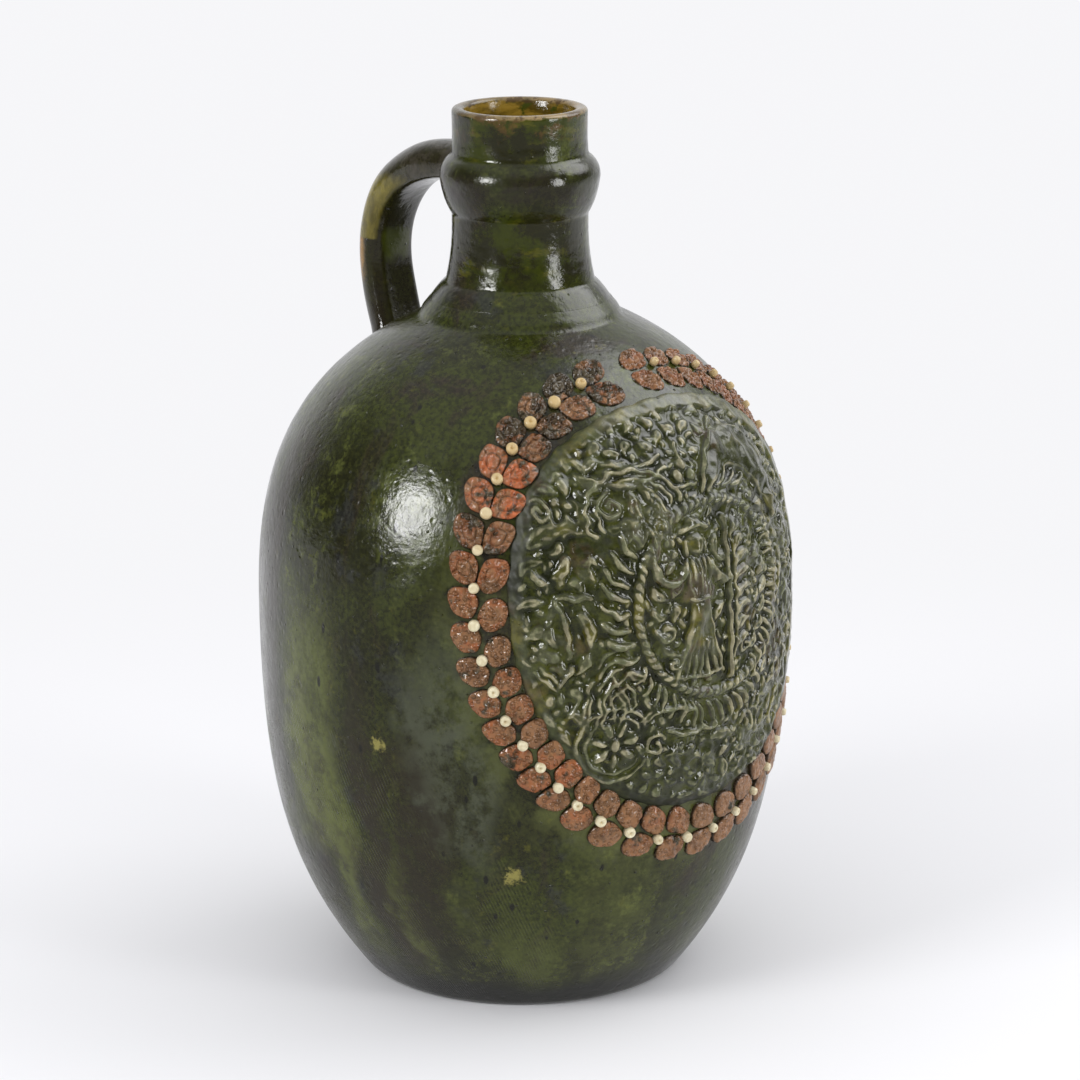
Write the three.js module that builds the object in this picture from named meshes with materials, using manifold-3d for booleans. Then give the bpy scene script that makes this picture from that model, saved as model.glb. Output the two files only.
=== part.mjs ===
// Narrow-necked bottle: a thrown and glazed earthenware jug with one strap handle. Its front carries a
// luted roundel with sprigged relief, inside a wreath of terracotta petals and cream beads.
// Millimetres, +Z up. The origin is the centre of the flat base, the roundel faces -Y, the handle is at +Y.

import * as THREE from "three";
import { mergeVertices } from "three/addons/utils/BufferGeometryUtils.js";
import Module from "manifold-3d";

const wasm = await Module();
wasm.setup();

// Driving dimensions

// A layer of slip joins each piece to the one that carries it.
const LUTE_GAP = 0.3;

const FOOT_RADIUS = 57.1;
const FOOT_EDGE = 1.2;
const FOOT_FLARE_ANGLE = 50.8;
const FOOT_FLARE_LENGTH = 48.6;
const BELLY_RADIUS = 93.7;
const BELLY_WIDEST_HEIGHT = 135.3;
const BELLY_FULLNESS_BELOW = 59.3;
const BELLY_FULLNESS_ABOVE = 40.9;
const BELLY_WALL = 6;
const BASE_THICKNESS = 8;
const SHOULDER_RADIUS = 36.4;
const SHOULDER_HEIGHT = 237;
const SHOULDER_SLOPE_ANGLE = 25.5;
const SHOULDER_SLOPE_LENGTH = 55.3;
const SHOULDER_GROOVE_DEPTH = 0.9;

const NECK_SEAM_HEIGHT = 244;
const NECK_SEAM_RADIUS = 31;
const NECK_BORE_RADIUS = 19.3;
const NECK_FOOT_RING_HEIGHT = 5;
const NECK_FOOT_RING_RADIUS = 26.7;
const NECK_FOOT_RING_ROUND = 1.5;
const NECK_FOOT_RING_STEP = 0.8;
const NECK_SHAFT_EASE = 8;
const NECK_SHAFT_TAPER = 0.6;
const NECK_WAIST_RADIUS = 23.85;
const NECK_WAIST_RISE = 26;
const COLLAR_RING_RADIUS = 28.1;
const COLLAR_RING_RISE = 42;
const COLLAR_RING_FALL = 13;
const COLLAR_RING_STEP = 8.3;
const COLLAR_RING_EASE = 6;
const COLLAR_RING_DROP = 3.8;
const LIP_FILLET = 0.8;
const LIP_RADIUS = 23.7;
const LIP_HEIGHT = 15.7;

const HANDLE_WIDTH = 20;
const HANDLE_THICKNESS = 15;
const HANDLE_REACH = 71.6;
const HANDLE_TOP_RISE = 0.8;
const HANDLE_TOP_RUN = 34;
const HANDLE_OUTER_DROP = 38;
const HANDLE_OUTER_RISE_LENGTH = 22;
const HANDLE_OUTER_FALL_LENGTH = 14;
const HANDLE_FOOT_HEIGHT = 206;
const HANDLE_FOOT_DEPTH = 16.3;
const HANDLE_FOOT_LEAN = 4;
const HANDLE_FOOT_LEAN_HEIGHT = 11;
const HANDLE_NECK_TAPER = 0.08;
const HANDLE_FOOT_FLARE = 0.14;

const ROUNDEL_HEIGHT = 152.7;
const ROUNDEL_RADIUS = 72;
const ROUNDEL_BORDER_WIDTH = 5;
const ROUNDEL_FIELD_THICKNESS = 1.2;
const ROUNDEL_BORDER_THICKNESS = 2.6;

const ROPE_RING_RADIUS = 33;
const ROPE_RING_OFFSET = 2.6;
const ROPE_RING_WIDTH = 3.6;
const ROPE_RING_RELIEF = 1.7;
const ROPE_STRANDS = 30;
const RELIEF_THICKNESS = 1.8;
const RELIEF_STEP = 0.15;
const FROND_WIDTH = 9;
const FROND_LOBES = 5;
const FROND_BOW = 0.16;
const BLOSSOM_RADIUS = 13;
const BLOSSOM_PETALS = 6;
const WING_LEAF_WIDTH = 13;
const PLUME_WIDTH = 9;
const FAN_LENGTH = 24;
const FAN_LEAVES = 5;
const FAN_SPREAD_ANGLE = 20.6;

const WREATH_RADIUS = 82.9;
const WREATH_START_ANGLE = 101.4;
const WREATH_PITCH_ANGLE = 8.43;
const WREATH_PAIRS = 42;
const WREATH_DRIFT_ANGLE = 8.5;
const WREATH_DRIFT_PAIRS = 16;
const WREATH_WAVER = 1.4;
const WREATH_WAVER_TURN = 20;
const PETAL_WIDTH = 9.6;
const PETAL_THICKNESS = 1.9;
const PETAL_SLANT_ANGLE = 30;
const PETAL_SIDE_GAP = 0.7;
const PETAL_LEAD = 0.8;
const PETAL_TIP_UNDER_BEAD = 0.55;
const BEAD_RADIUS = 1.9;
const BEAD_RISE = 2.7;
const BEAD_FOOT_TAIL = 1.8;

// Facet counts

const BELLY_SEGMENTS = 44;
const NECK_SEGMENTS = 32;
const HANDLE_SIDES = 14;
const HANDLE_STEPS = 22;
const ROUNDEL_SEGMENTS = 44;
const ROUNDEL_RINGS = 7;
const PETAL_SIDES = 8;
const BEAD_SIDES = 6;

const glaze = new THREE.MeshStandardMaterial({ name: "green_glaze", color: 0x2c331d, roughness: 0.18 });
const reliefGlaze = new THREE.MeshStandardMaterial({ name: "relief_glaze", color: 0x3a4428, roughness: 0.2 });
const terracotta = new THREE.MeshStandardMaterial({ name: "terracotta", color: 0x96553c, roughness: 0.6 });

const radians = THREE.MathUtils.degToRad;
const point2 = (x, y) => new THREE.Vector2(x, y);
const bottle = new THREE.Group();

// Solids and booleans

function geometryOf(positions, triangles) {
  const geometry = new THREE.BufferGeometry();
  geometry.setAttribute("position", new THREE.Float32BufferAttribute(positions, 3));
  geometry.setIndex(triangles);
  return geometry;
}

function toManifold(geometry) {
  const bare = geometry.clone();
  bare.deleteAttribute("normal");
  bare.deleteAttribute("uv");
  const merged = mergeVertices(bare, 1e-4);
  const index = merged.index.array;
  const triVerts = [];
  for (let i = 0; i < index.length; i += 3) {
    const [a, b, c] = index.slice(i, i + 3);
    if (a !== b && b !== c && c !== a) triVerts.push(a, b, c);
  }
  const vertProperties = new Float32Array(merged.attributes.position.array);
  return new wasm.Manifold(
    new wasm.Mesh({ numProp: 3, vertProperties, triVerts: new Uint32Array(triVerts) })
  );
}

function fromManifold(solid) {
  const mesh = solid.getMesh();
  return geometryOf(Array.from(mesh.vertProperties), Array.from(mesh.triVerts));
}

function joined(geometries) {
  const solids = geometries.map(toManifold);
  return fromManifold(solids.reduce((sum, solid) => sum.add(solid)));
}

// A skin over equal rings of points that run outward-facing. Each end closes on its tip, and without
// tips the last ring meets the first.
function skin(rings, tips) {
  const count = rings[0].length;
  const points = rings.flat();
  const triangles = [];
  const bands = tips ? rings.length - 1 : rings.length;
  for (let band = 0; band < bands; band++) {
    const low = band * count;
    const high = ((band + 1) % rings.length) * count;
    for (let i = 0; i < count; i++) {
      const next = (i + 1) % count;
      triangles.push(low + i, low + next, high + next);
      triangles.push(low + i, high + next, high + i);
    }
  }
  if (tips) {
    const last = (rings.length - 1) * count;
    for (let i = 0; i < count; i++) {
      const next = (i + 1) % count;
      triangles.push(points.length, next, i);
      triangles.push(points.length + 1, last + i, last + next);
    }
    points.push(...tips);
  }
  return geometryOf(points.flatMap((p) => p.toArray()), triangles);
}

// A profile of (radius, height) points turned about the bottle's axis
function turned(profile, segments) {
  const lathe = new THREE.LatheGeometry(profile, segments);
  return lathe.rotateX(Math.PI / 2);
}

function addPiece(name, geometry, material) {
  const mesh = new THREE.Mesh(geometry, material);
  mesh.name = name;
  bottle.add(mesh);
}

// Belly outline, from the foot to the seam of the neck

function bellyOutline(divisions) {
  const foot = point2(FOOT_RADIUS, 0);
  const widest = point2(BELLY_RADIUS, BELLY_WIDEST_HEIGHT);
  const shoulder = point2(SHOULDER_RADIUS, SHOULDER_HEIGHT);
  const flare = radians(FOOT_FLARE_ANGLE);
  const slope = radians(SHOULDER_SLOPE_ANGLE);
  const lower = new THREE.CubicBezierCurve(
    foot,
    point2(Math.cos(flare), Math.sin(flare)).multiplyScalar(FOOT_FLARE_LENGTH).add(foot),
    point2(BELLY_RADIUS, BELLY_WIDEST_HEIGHT - BELLY_FULLNESS_BELOW),
    widest
  );
  const upper = new THREE.CubicBezierCurve(
    widest,
    point2(BELLY_RADIUS, BELLY_WIDEST_HEIGHT + BELLY_FULLNESS_ABOVE),
    point2(Math.cos(slope), -Math.sin(slope)).multiplyScalar(SHOULDER_SLOPE_LENGTH).add(shoulder),
    shoulder
  );
  return [...lower.getPoints(divisions), ...upper.getPoints(divisions).slice(1)];
}

// The turned grooves that step the shoulder up to the seam
function shoulderGrooves() {
  const rise = NECK_SEAM_HEIGHT - SHOULDER_HEIGHT;
  const run = SHOULDER_RADIUS - NECK_SEAM_RADIUS;
  return [
    point2(SHOULDER_RADIUS - 0.22 * run - SHOULDER_GROOVE_DEPTH, SHOULDER_HEIGHT + 0.12 * rise),
    point2(SHOULDER_RADIUS - 0.35 * run, SHOULDER_HEIGHT + 0.36 * rise),
    point2(NECK_SEAM_RADIUS, NECK_SEAM_HEIGHT),
  ];
}

// Outline points with the outward normal and the distance walked from the foot
function measuredOutline() {
  const points = [...bellyOutline(80), point2(NECK_SEAM_RADIUS, NECK_SEAM_HEIGHT)];
  let walked = 0;
  return points.map((point, i) => {
    const before = points[Math.max(i - 1, 0)];
    const after = points[Math.min(i + 1, points.length - 1)];
    const along = after.clone().sub(before).normalize();
    walked += i ? point.distanceTo(before) : 0;
    return { radius: point.x, height: point.y, walked, normal: point2(along.y, -along.x) };
  });
}

const outline = measuredOutline();

// The outline's state where one of its measures reaches a value
function outlineAt(measure, value) {
  const last = outline.length - 1;
  const found = outline.findIndex((station) => station[measure] >= value);
  const high = Math.max(found < 0 ? last : found, 1);
  const a = outline[high - 1];
  const b = outline[high];
  const t = (value - a[measure]) / (b[measure] - a[measure]);
  return {
    radius: THREE.MathUtils.lerp(a.radius, b.radius, t),
    height: THREE.MathUtils.lerp(a.height, b.height, t),
    walked: THREE.MathUtils.lerp(a.walked, b.walked, t),
    normal: a.normal.clone().lerp(b.normal, t).normalize(),
  };
}

const roundelWalk = outlineAt("height", ROUNDEL_HEIGHT).walked;

// A point of the front, given as azimuth from -Y and distance walked up the outline, lifted off the clay
function liftedPoint(azimuth, walked, lift) {
  const at = outlineAt("walked", walked);
  const radius = at.radius + at.normal.x * lift;
  const height = at.height + at.normal.y * lift;
  return new THREE.Vector3(radius * Math.sin(azimuth), -radius * Math.cos(azimuth), height);
}

// The roundel's own chart: u to the right and v up, both as lengths on the clay
function onBelly(u, v, lift) {
  const walked = roundelWalk + v;
  return liftedPoint(u / outlineAt("walked", walked).radius, walked, lift);
}

// A small chart about a centre of the roundel's chart, which keeps lengths true near the shoulder
function localChart(centre) {
  const walked = roundelWalk + centre.y;
  const azimuth = centre.x / outlineAt("walked", walked).radius;
  return (a, b, lift) => {
    const reached = walked + b;
    return liftedPoint(azimuth + a / outlineAt("walked", reached).radius, reached, lift);
  };
}

// Belly

function makeBelly() {
  const outside = [...bellyOutline(9), ...shoulderGrooves()];
  outside[0] = point2(FOOT_RADIUS + FOOT_EDGE * Math.cos(radians(FOOT_FLARE_ANGLE)), FOOT_EDGE);
  const inside = outline
    .filter((station, i) => i % 20 === 0)
    .map((station) => point2(station.radius, station.height).addScaledVector(station.normal, -BELLY_WALL))
    .filter((point) => point.y > BASE_THICKNESS + BELLY_WALL && point.x > NECK_BORE_RADIUS + BELLY_WALL)
    .reverse();
  const floorRadius = FOOT_RADIUS - BELLY_WALL / 2;
  const profile = [
    point2(0, 0),
    point2(FOOT_RADIUS - FOOT_EDGE, 0),
    ...outside,
    point2(NECK_BORE_RADIUS, NECK_SEAM_HEIGHT),
    point2(NECK_BORE_RADIUS, NECK_SEAM_HEIGHT - BELLY_WALL),
    ...inside,
    point2(floorRadius, BASE_THICKNESS),
    point2(0, BASE_THICKNESS),
  ];
  return turned(profile, BELLY_SEGMENTS);
}

// Neck

function neckOutside() {
  const base = NECK_SEAM_HEIGHT + LUTE_GAP;
  const ringTop = NECK_SEAM_HEIGHT + NECK_FOOT_RING_HEIGHT;
  const waist = NECK_SEAM_HEIGHT + NECK_WAIST_RISE;
  const collar = NECK_SEAM_HEIGHT + COLLAR_RING_RISE;
  const collarFoot = collar - COLLAR_RING_FALL;
  const collarTop = collar + COLLAR_RING_STEP;
  const lip = collarTop + LIP_HEIGHT;
  const lipRound = (LIP_RADIUS - NECK_BORE_RADIUS) / 2;
  const path = new THREE.Path();
  path.moveTo(NECK_SEAM_RADIUS, base);
  path.quadraticCurveTo(
    NECK_FOOT_RING_RADIUS + NECK_FOOT_RING_ROUND, ringTop - NECK_FOOT_RING_ROUND,
    NECK_FOOT_RING_RADIUS, ringTop
  );
  path.lineTo(NECK_FOOT_RING_RADIUS - NECK_FOOT_RING_STEP, ringTop + NECK_FOOT_RING_STEP);
  path.bezierCurveTo(
    NECK_WAIST_RADIUS + NECK_SHAFT_TAPER, ringTop + NECK_SHAFT_EASE,
    NECK_WAIST_RADIUS, waist - NECK_SHAFT_EASE,
    NECK_WAIST_RADIUS, waist
  );
  path.lineTo(NECK_WAIST_RADIUS, collarFoot);
  path.quadraticCurveTo(COLLAR_RING_RADIUS, collarFoot + COLLAR_RING_EASE, COLLAR_RING_RADIUS, collar);
  path.quadraticCurveTo(COLLAR_RING_RADIUS, collarTop - COLLAR_RING_DROP, LIP_RADIUS + LIP_FILLET, collarTop);
  path.lineTo(LIP_RADIUS, collarTop + LIP_FILLET);
  path.lineTo(LIP_RADIUS, lip - lipRound);
  path.absarc(LIP_RADIUS - lipRound, lip - lipRound, lipRound, 0, Math.PI, false);
  return path.getPoints(4);
}

function makeNeck() {
  const bottom = NECK_SEAM_HEIGHT + LUTE_GAP;
  const profile = [...neckOutside(), point2(NECK_BORE_RADIUS, bottom), point2(NECK_SEAM_RADIUS, bottom)];
  return turned(profile, NECK_SEGMENTS);
}

// Handle

// Centre line in the plane of the handle, as (distance from the axis, height)
function handleLine() {
  const topHeight = NECK_SEAM_HEIGHT + COLLAR_RING_RISE + HANDLE_TOP_RISE;
  const outerHeight = topHeight - HANDLE_OUTER_DROP;
  const start = point2((NECK_BORE_RADIUS + COLLAR_RING_RADIUS) / 2, topHeight);
  const outer = point2(HANDLE_REACH, outerHeight);
  const footRadius = outlineAt("height", HANDLE_FOOT_HEIGHT).radius - HANDLE_FOOT_DEPTH;
  const foot = point2(footRadius, HANDLE_FOOT_HEIGHT);
  const line = new THREE.CurvePath();
  line.add(new THREE.CubicBezierCurve(
    start,
    point2(start.x + HANDLE_TOP_RUN, topHeight + 1),
    point2(HANDLE_REACH, outerHeight + HANDLE_OUTER_RISE_LENGTH),
    outer
  ));
  line.add(new THREE.CubicBezierCurve(
    outer,
    point2(HANDLE_REACH, outerHeight - HANDLE_OUTER_FALL_LENGTH),
    point2(footRadius + HANDLE_FOOT_LEAN, HANDLE_FOOT_HEIGHT + HANDLE_FOOT_LEAN_HEIGHT),
    foot
  ));
  return line;
}

// Oval section: rounded outside, flatter towards the hand gap
function handleSection(centre, along, scale) {
  const outward = point2(along.y, -along.x).negate();
  return Array.from({ length: HANDLE_SIDES }, (_, i) => {
    const angle = (2 * Math.PI * i) / HANDLE_SIDES;
    const across = -0.5 * HANDLE_WIDTH * scale * Math.cos(angle);
    const rise = Math.sin(angle);
    const out = 0.5 * HANDLE_THICKNESS * scale * (rise > 0 ? rise : 0.86 * Math.tanh(1.9 * rise));
    const inPlane = centre.clone().addScaledVector(outward, out);
    return new THREE.Vector3(across, inPlane.x, inPlane.y);
  });
}

function makeHandle(carriers) {
  const line = handleLine();
  const rings = [];
  for (let i = 0; i <= HANDLE_STEPS; i++) {
    const t = i / HANDLE_STEPS;
    const taper = HANDLE_NECK_TAPER * Math.max(0, 1 - 3 * t);
    const flare = HANDLE_FOOT_FLARE * Math.max(0, 6 * t - 5);
    rings.push(handleSection(line.getPointAt(t), line.getTangentAt(t), 1 - taper + flare));
  }
  const middle = (ring) => ring.reduce((sum, p) => sum.add(p), new THREE.Vector3()).divideScalar(ring.length);
  const strap = toManifold(skin(rings, [middle(rings[0]), middle(rings[HANDLE_STEPS])]));
  return fromManifold(carriers.reduce((rest, carrier) => rest.subtract(carrier), strap));
}

// A turned outline grown by the lute gap and filled, which cuts what seats on it
function seatCutter(points, segments) {
  const grown = points.map((point, i) => {
    const before = points[Math.max(i - 1, 0)];
    const after = points[Math.min(i + 1, points.length - 1)];
    const along = after.clone().sub(before).normalize();
    return point.clone().addScaledVector(point2(along.y, -along.x), LUTE_GAP);
  });
  const top = grown[grown.length - 1];
  return toManifold(turned([point2(0, grown[0].y), ...grown, point2(0, top.y)], segments));
}

// Roundel

function makeRoundel() {
  const inner = ROUNDEL_RADIUS - ROUNDEL_BORDER_WIDTH;
  const field = LUTE_GAP + ROUNDEL_FIELD_THICKNESS;
  const border = LUTE_GAP + ROUNDEL_BORDER_THICKNESS;
  const bottom = LUTE_GAP;
  const under = [];
  const over = [];
  for (let i = 1; i <= ROUNDEL_RINGS; i++) {
    under.push([(ROUNDEL_RADIUS * i) / ROUNDEL_RINGS, bottom]);
    over.push([(inner * i) / ROUNDEL_RINGS, field]);
  }
  const edge = [
    [ROUNDEL_RADIUS, LUTE_GAP + 0.45 * ROUNDEL_BORDER_THICKNESS],
    [ROUNDEL_RADIUS - 0.25 * ROUNDEL_BORDER_WIDTH, border],
    [ROUNDEL_RADIUS - 0.7 * ROUNDEL_BORDER_WIDTH, border],
  ];
  const rings = [...under, ...edge, ...over.reverse()].map(([radius, lift]) =>
    Array.from({ length: ROUNDEL_SEGMENTS }, (_, i) => {
      const angle = (2 * Math.PI * i) / ROUNDEL_SEGMENTS;
      return onBelly(radius * Math.cos(angle), radius * Math.sin(angle), lift);
    })
  );
  return skin(rings, [onBelly(0, 0, bottom), onBelly(0, 0, field)]);
}

// Relief on the roundel

const reliefBase = LUTE_GAP + ROUNDEL_FIELD_THICKNESS + LUTE_GAP;

// Sections of a half-round band, as (across, up). The broad one has a point under its middle, so that its
// underside keeps to the round of the belly.
const narrowSection = [[-1, 0], [1, 0], [0.8, 0.65], [0, 1], [-0.8, 0.65]];
const broadSection = [[-1, 0], [0, 0], [1, 0], [0.8, 0.65], [0, 1], [-0.8, 0.65]];

// Band that follows a flat curve of the chart. Sizes are functions of the way along, 0 to 1.
function strand(curve, steps, halfWidth, height, base = reliefBase, section = narrowSection) {
  const closed = curve.closed === true;
  const rings = [];
  const count = closed ? steps : steps + 1;
  for (let i = 0; i < count; i++) {
    const t = i / steps;
    const centre = curve.getPoint(t);
    const along = curve.getTangent(t);
    rings.push(section.map(([across, up]) => onBelly(
      centre.x - along.y * across * halfWidth(t),
      centre.y + along.x * across * halfWidth(t),
      base + up * height(t)
    )));
  }
  if (closed) return skin(rings);
  const tip = (t) => {
    const centre = curve.getPoint(t);
    return onBelly(centre.x, centre.y, base + 0.4 * height(t));
  };
  return skin(rings, [tip(0), tip(1)]);
}

// Crowned pad with an outline given as radius by angle about its centre
function pad(centre, turn, sides, radiusAt, thickness, base = reliefBase) {
  const ring = (share, lift) => Array.from({ length: sides }, (_, i) => {
    const angle = (2 * Math.PI * i) / sides;
    const [x, y] = radiusAt(angle).map((value) => value * share);
    return onBelly(
      centre.x + x * Math.cos(turn) - y * Math.sin(turn),
      centre.y + x * Math.sin(turn) + y * Math.cos(turn),
      lift
    );
  });
  const rings = [ring(1, base), ring(0.72, base + 0.8 * thickness)];
  return skin(rings, [onBelly(centre.x, centre.y, base), onBelly(centre.x, centre.y, base + thickness)]);
}

const ovalShape = (length, width) => (angle) => [
  0.5 * length * Math.cos(angle),
  0.5 * width * Math.sin(angle),
];

const ringCentre = point2(ROPE_RING_OFFSET, 0);

function makeRopeRing() {
  const circle = {
    closed: true,
    getPoint: (t) => point2(Math.cos(2 * Math.PI * t), Math.sin(2 * Math.PI * t))
      .multiplyScalar(ROPE_RING_RADIUS)
      .add(ringCentre),
    getTangent: (t) => point2(-Math.sin(2 * Math.PI * t), Math.cos(2 * Math.PI * t)),
  };
  const notch = (t) => 0.5 + 0.5 * Math.cos(2 * Math.PI * ROPE_STRANDS * t);
  return strand(
    circle,
    2 * ROPE_STRANDS,
    () => ROPE_RING_WIDTH / 2,
    (t) => ROPE_RING_RELIEF * (0.62 + 0.38 * notch(t))
  );
}

// Robed figure that stands in the ring, with a brimmed hat and a staff in the raised hand. Its places and
// sizes are shares of the ring's radius.
function makeFigure() {
  const ring = ROPE_RING_RADIUS;
  const at = (x, y) => point2(x, y).multiplyScalar(ring).add(ringCentre);
  const line = (x0, y0, x1, y1) => new THREE.LineCurve(at(x0, y0), at(x1, y1));
  const oval = (x, y, length, width, thickness, base) =>
    pad(at(x, y), Math.PI / 2, 8, ovalShape(length * ring, width * ring), thickness, base);
  const robe = strand(
    line(-0.26, 0.41, -0.26, -0.74),
    8,
    (t) => ring * (0.11 + 0.157 * t ** 0.8 + 0.036 * Math.sin(2 * Math.PI * t)),
    () => RELIEF_THICKNESS,
    reliefBase,
    broadSection
  );
  const raised = reliefBase + RELIEF_STEP;
  const raisedTwice = raised + RELIEF_STEP;
  const head = oval(-0.26, 0.545, 0.29, 0.225, 1.1 * RELIEF_THICKNESS, raised);
  const hat = oval(-0.26, 0.745, 0.24, 0.25, RELIEF_THICKNESS, raisedTwice);
  const rod = (path, steps, halfWidth, thickness, base) =>
    strand(path, steps, () => halfWidth * ring, () => thickness, base);
  const brim = rod(line(-0.425, 0.66, -0.09, 0.66), 4, 0.04, 1.2 * RELIEF_THICKNESS, raised);
  const arm = rod(line(-0.18, 0.26, 0.175, 0.135), 4, 0.058, RELIEF_THICKNESS, raised);
  const staff = rod(line(0.165, 0.7, 0.165, -0.79), 8, 0.033, RELIEF_THICKNESS, raisedTwice);
  return joined([robe, head, hat, brim, arm, staff]);
}

// Blossom of round petals about a raised eye
function makeBlossom(centre, radius, petals) {
  const outlineOf = (angle) => {
    const r = radius * (0.82 + 0.18 * Math.cos(petals * angle));
    return [r * Math.cos(angle), r * Math.sin(angle)];
  };
  const flower = pad(centre, 0.3, 4 * petals, outlineOf, RELIEF_THICKNESS * 0.8);
  const eyeShape = ovalShape(0.5 * radius, 0.5 * radius);
  const eye = pad(centre, 0, 6, eyeShape, 1.5 * RELIEF_THICKNESS, reliefBase + RELIEF_STEP);
  return joined([flower, eye]);
}

// Plume: a bowed band with ribs across it
function makePlume(from, through, to, width, ribs) {
  const curve = new THREE.QuadraticBezierCurve(from, through, to);
  const rib = (t) => 0.5 + 0.5 * Math.cos(2 * Math.PI * ribs * t);
  return strand(
    curve,
    2 * ribs,
    (t) => 0.5 * width * (0.35 + 0.65 * Math.sin(Math.PI * t) ** 0.6) * (0.9 + 0.1 * rib(t)),
    (t) => RELIEF_THICKNESS * (0.55 + 0.45 * rib(t)),
    reliefBase,
    broadSection
  );
}

// Frond: a bowed leaf cut into lobes
function makeFrond(from, to, width, lobes) {
  const chord = to.clone().sub(from);
  const middle = from.clone().addScaledVector(chord, 0.5);
  const bow = point2(-chord.y, chord.x).multiplyScalar(FROND_BOW);
  const curve = new THREE.QuadraticBezierCurve(from, middle.add(bow), to);
  const lobe = (t) => Math.abs(Math.sin(Math.PI * lobes * t));
  return strand(
    curve,
    2 * lobes,
    (t) => 0.5 * width * (0.3 + 0.7 * lobe(t)) * (1 - 0.45 * t),
    (t) => RELIEF_THICKNESS * (0.6 + 0.4 * lobe(t)),
    reliefBase,
    broadSection
  );
}

// Fan of long leaves that spread from one foot
function makeFan(foot, turn, length, leaves) {
  const blades = [];
  for (let i = 0; i < leaves; i++) {
    const angle = turn + (i - (leaves - 1) / 2) * radians(FAN_SPREAD_ANGLE);
    const centre = foot.clone().add(point2(Math.cos(angle), Math.sin(angle)).multiplyScalar(0.5 * length));
    const base = reliefBase + RELIEF_STEP * (i % 2);
    blades.push(pad(centre, angle, 8, ovalShape(length, 0.3 * length), RELIEF_THICKNESS, base));
  }
  return joined(blades);
}

function addRelief() {
  const around = (angle, radius) => point2(Math.cos(radians(angle)), Math.sin(radians(angle)))
    .multiplyScalar(radius)
    .add(ringCentre);
  const inner = ROPE_RING_RADIUS + ROPE_RING_WIDTH / 2;
  const outer = ROUNDEL_RADIUS - ROUNDEL_BORDER_WIDTH - ROPE_RING_OFFSET;
  const between = (angle, share) => around(angle, THREE.MathUtils.lerp(inner, outer, share));
  addPiece("rope_ring", makeRopeRing(), reliefGlaze);
  addPiece("robed_figure", makeFigure(), reliefGlaze);
  const plume = (angles, shares, width, ribs) =>
    makePlume(...angles.map((angle, i) => between(angle, shares[i])), width, ribs);
  addPiece("blossom", makeBlossom(between(127, 0.53), BLOSSOM_RADIUS, BLOSSOM_PETALS), reliefGlaze);
  addPiece("wing_leaf", plume([91, 62, 32], [0.3, 1.05, 0.34], WING_LEAF_WIDTH, 5), reliefGlaze);
  addPiece("plume_left", plume([151, 178, 205], [0.2, 0.42, 0.2], PLUME_WIDTH, 9), reliefGlaze);
  addPiece("plume_right", plume([22, -4, -30], [0.2, 0.42, 0.2], PLUME_WIDTH, 9), reliefGlaze);
  addPiece("leaf_fan", makeFan(between(-84, 0.06), radians(-84), FAN_LENGTH, FAN_LEAVES), reliefGlaze);
  const fronds = [
    [84, 0.86, 108, 0.86],
    [149, 0.6, 174, 0.9],
    [179, 0.9, 206, 0.7],
    [211, 0.3, 226, 0.9],
    [234, 0.12, 245, 0.92],
    [292, 0.22, 309, 0.88],
    [338, 0.84, 366, 0.84],
  ];
  fronds.forEach(([fromAngle, fromShare, toAngle, toShare], i) => {
    const ends = [between(fromAngle, fromShare), between(toAngle, toShare)];
    addPiece(`frond_${i + 1}`, makeFrond(...ends, FROND_WIDTH, FROND_LOBES), reliefGlaze);
  });
}

// Wreath

// Angle of a bead on the wreath. The pairs sit wider apart where the laying began and close up later.
function wreathAngle(step) {
  const drift = step < WREATH_DRIFT_PAIRS ? Math.sin((Math.PI * step) / WREATH_DRIFT_PAIRS) : 0;
  return radians(WREATH_START_ANGLE + WREATH_PITCH_ANGLE * step + WREATH_DRIFT_ANGLE * drift);
}

// The laid ring wavers in and out four times on its way round.
function onWreath(angle) {
  const radius = WREATH_RADIUS + WREATH_WAVER * Math.cos(4 * angle + radians(WREATH_WAVER_TURN));
  return point2(Math.cos(angle), Math.sin(angle)).multiplyScalar(radius);
}

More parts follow.
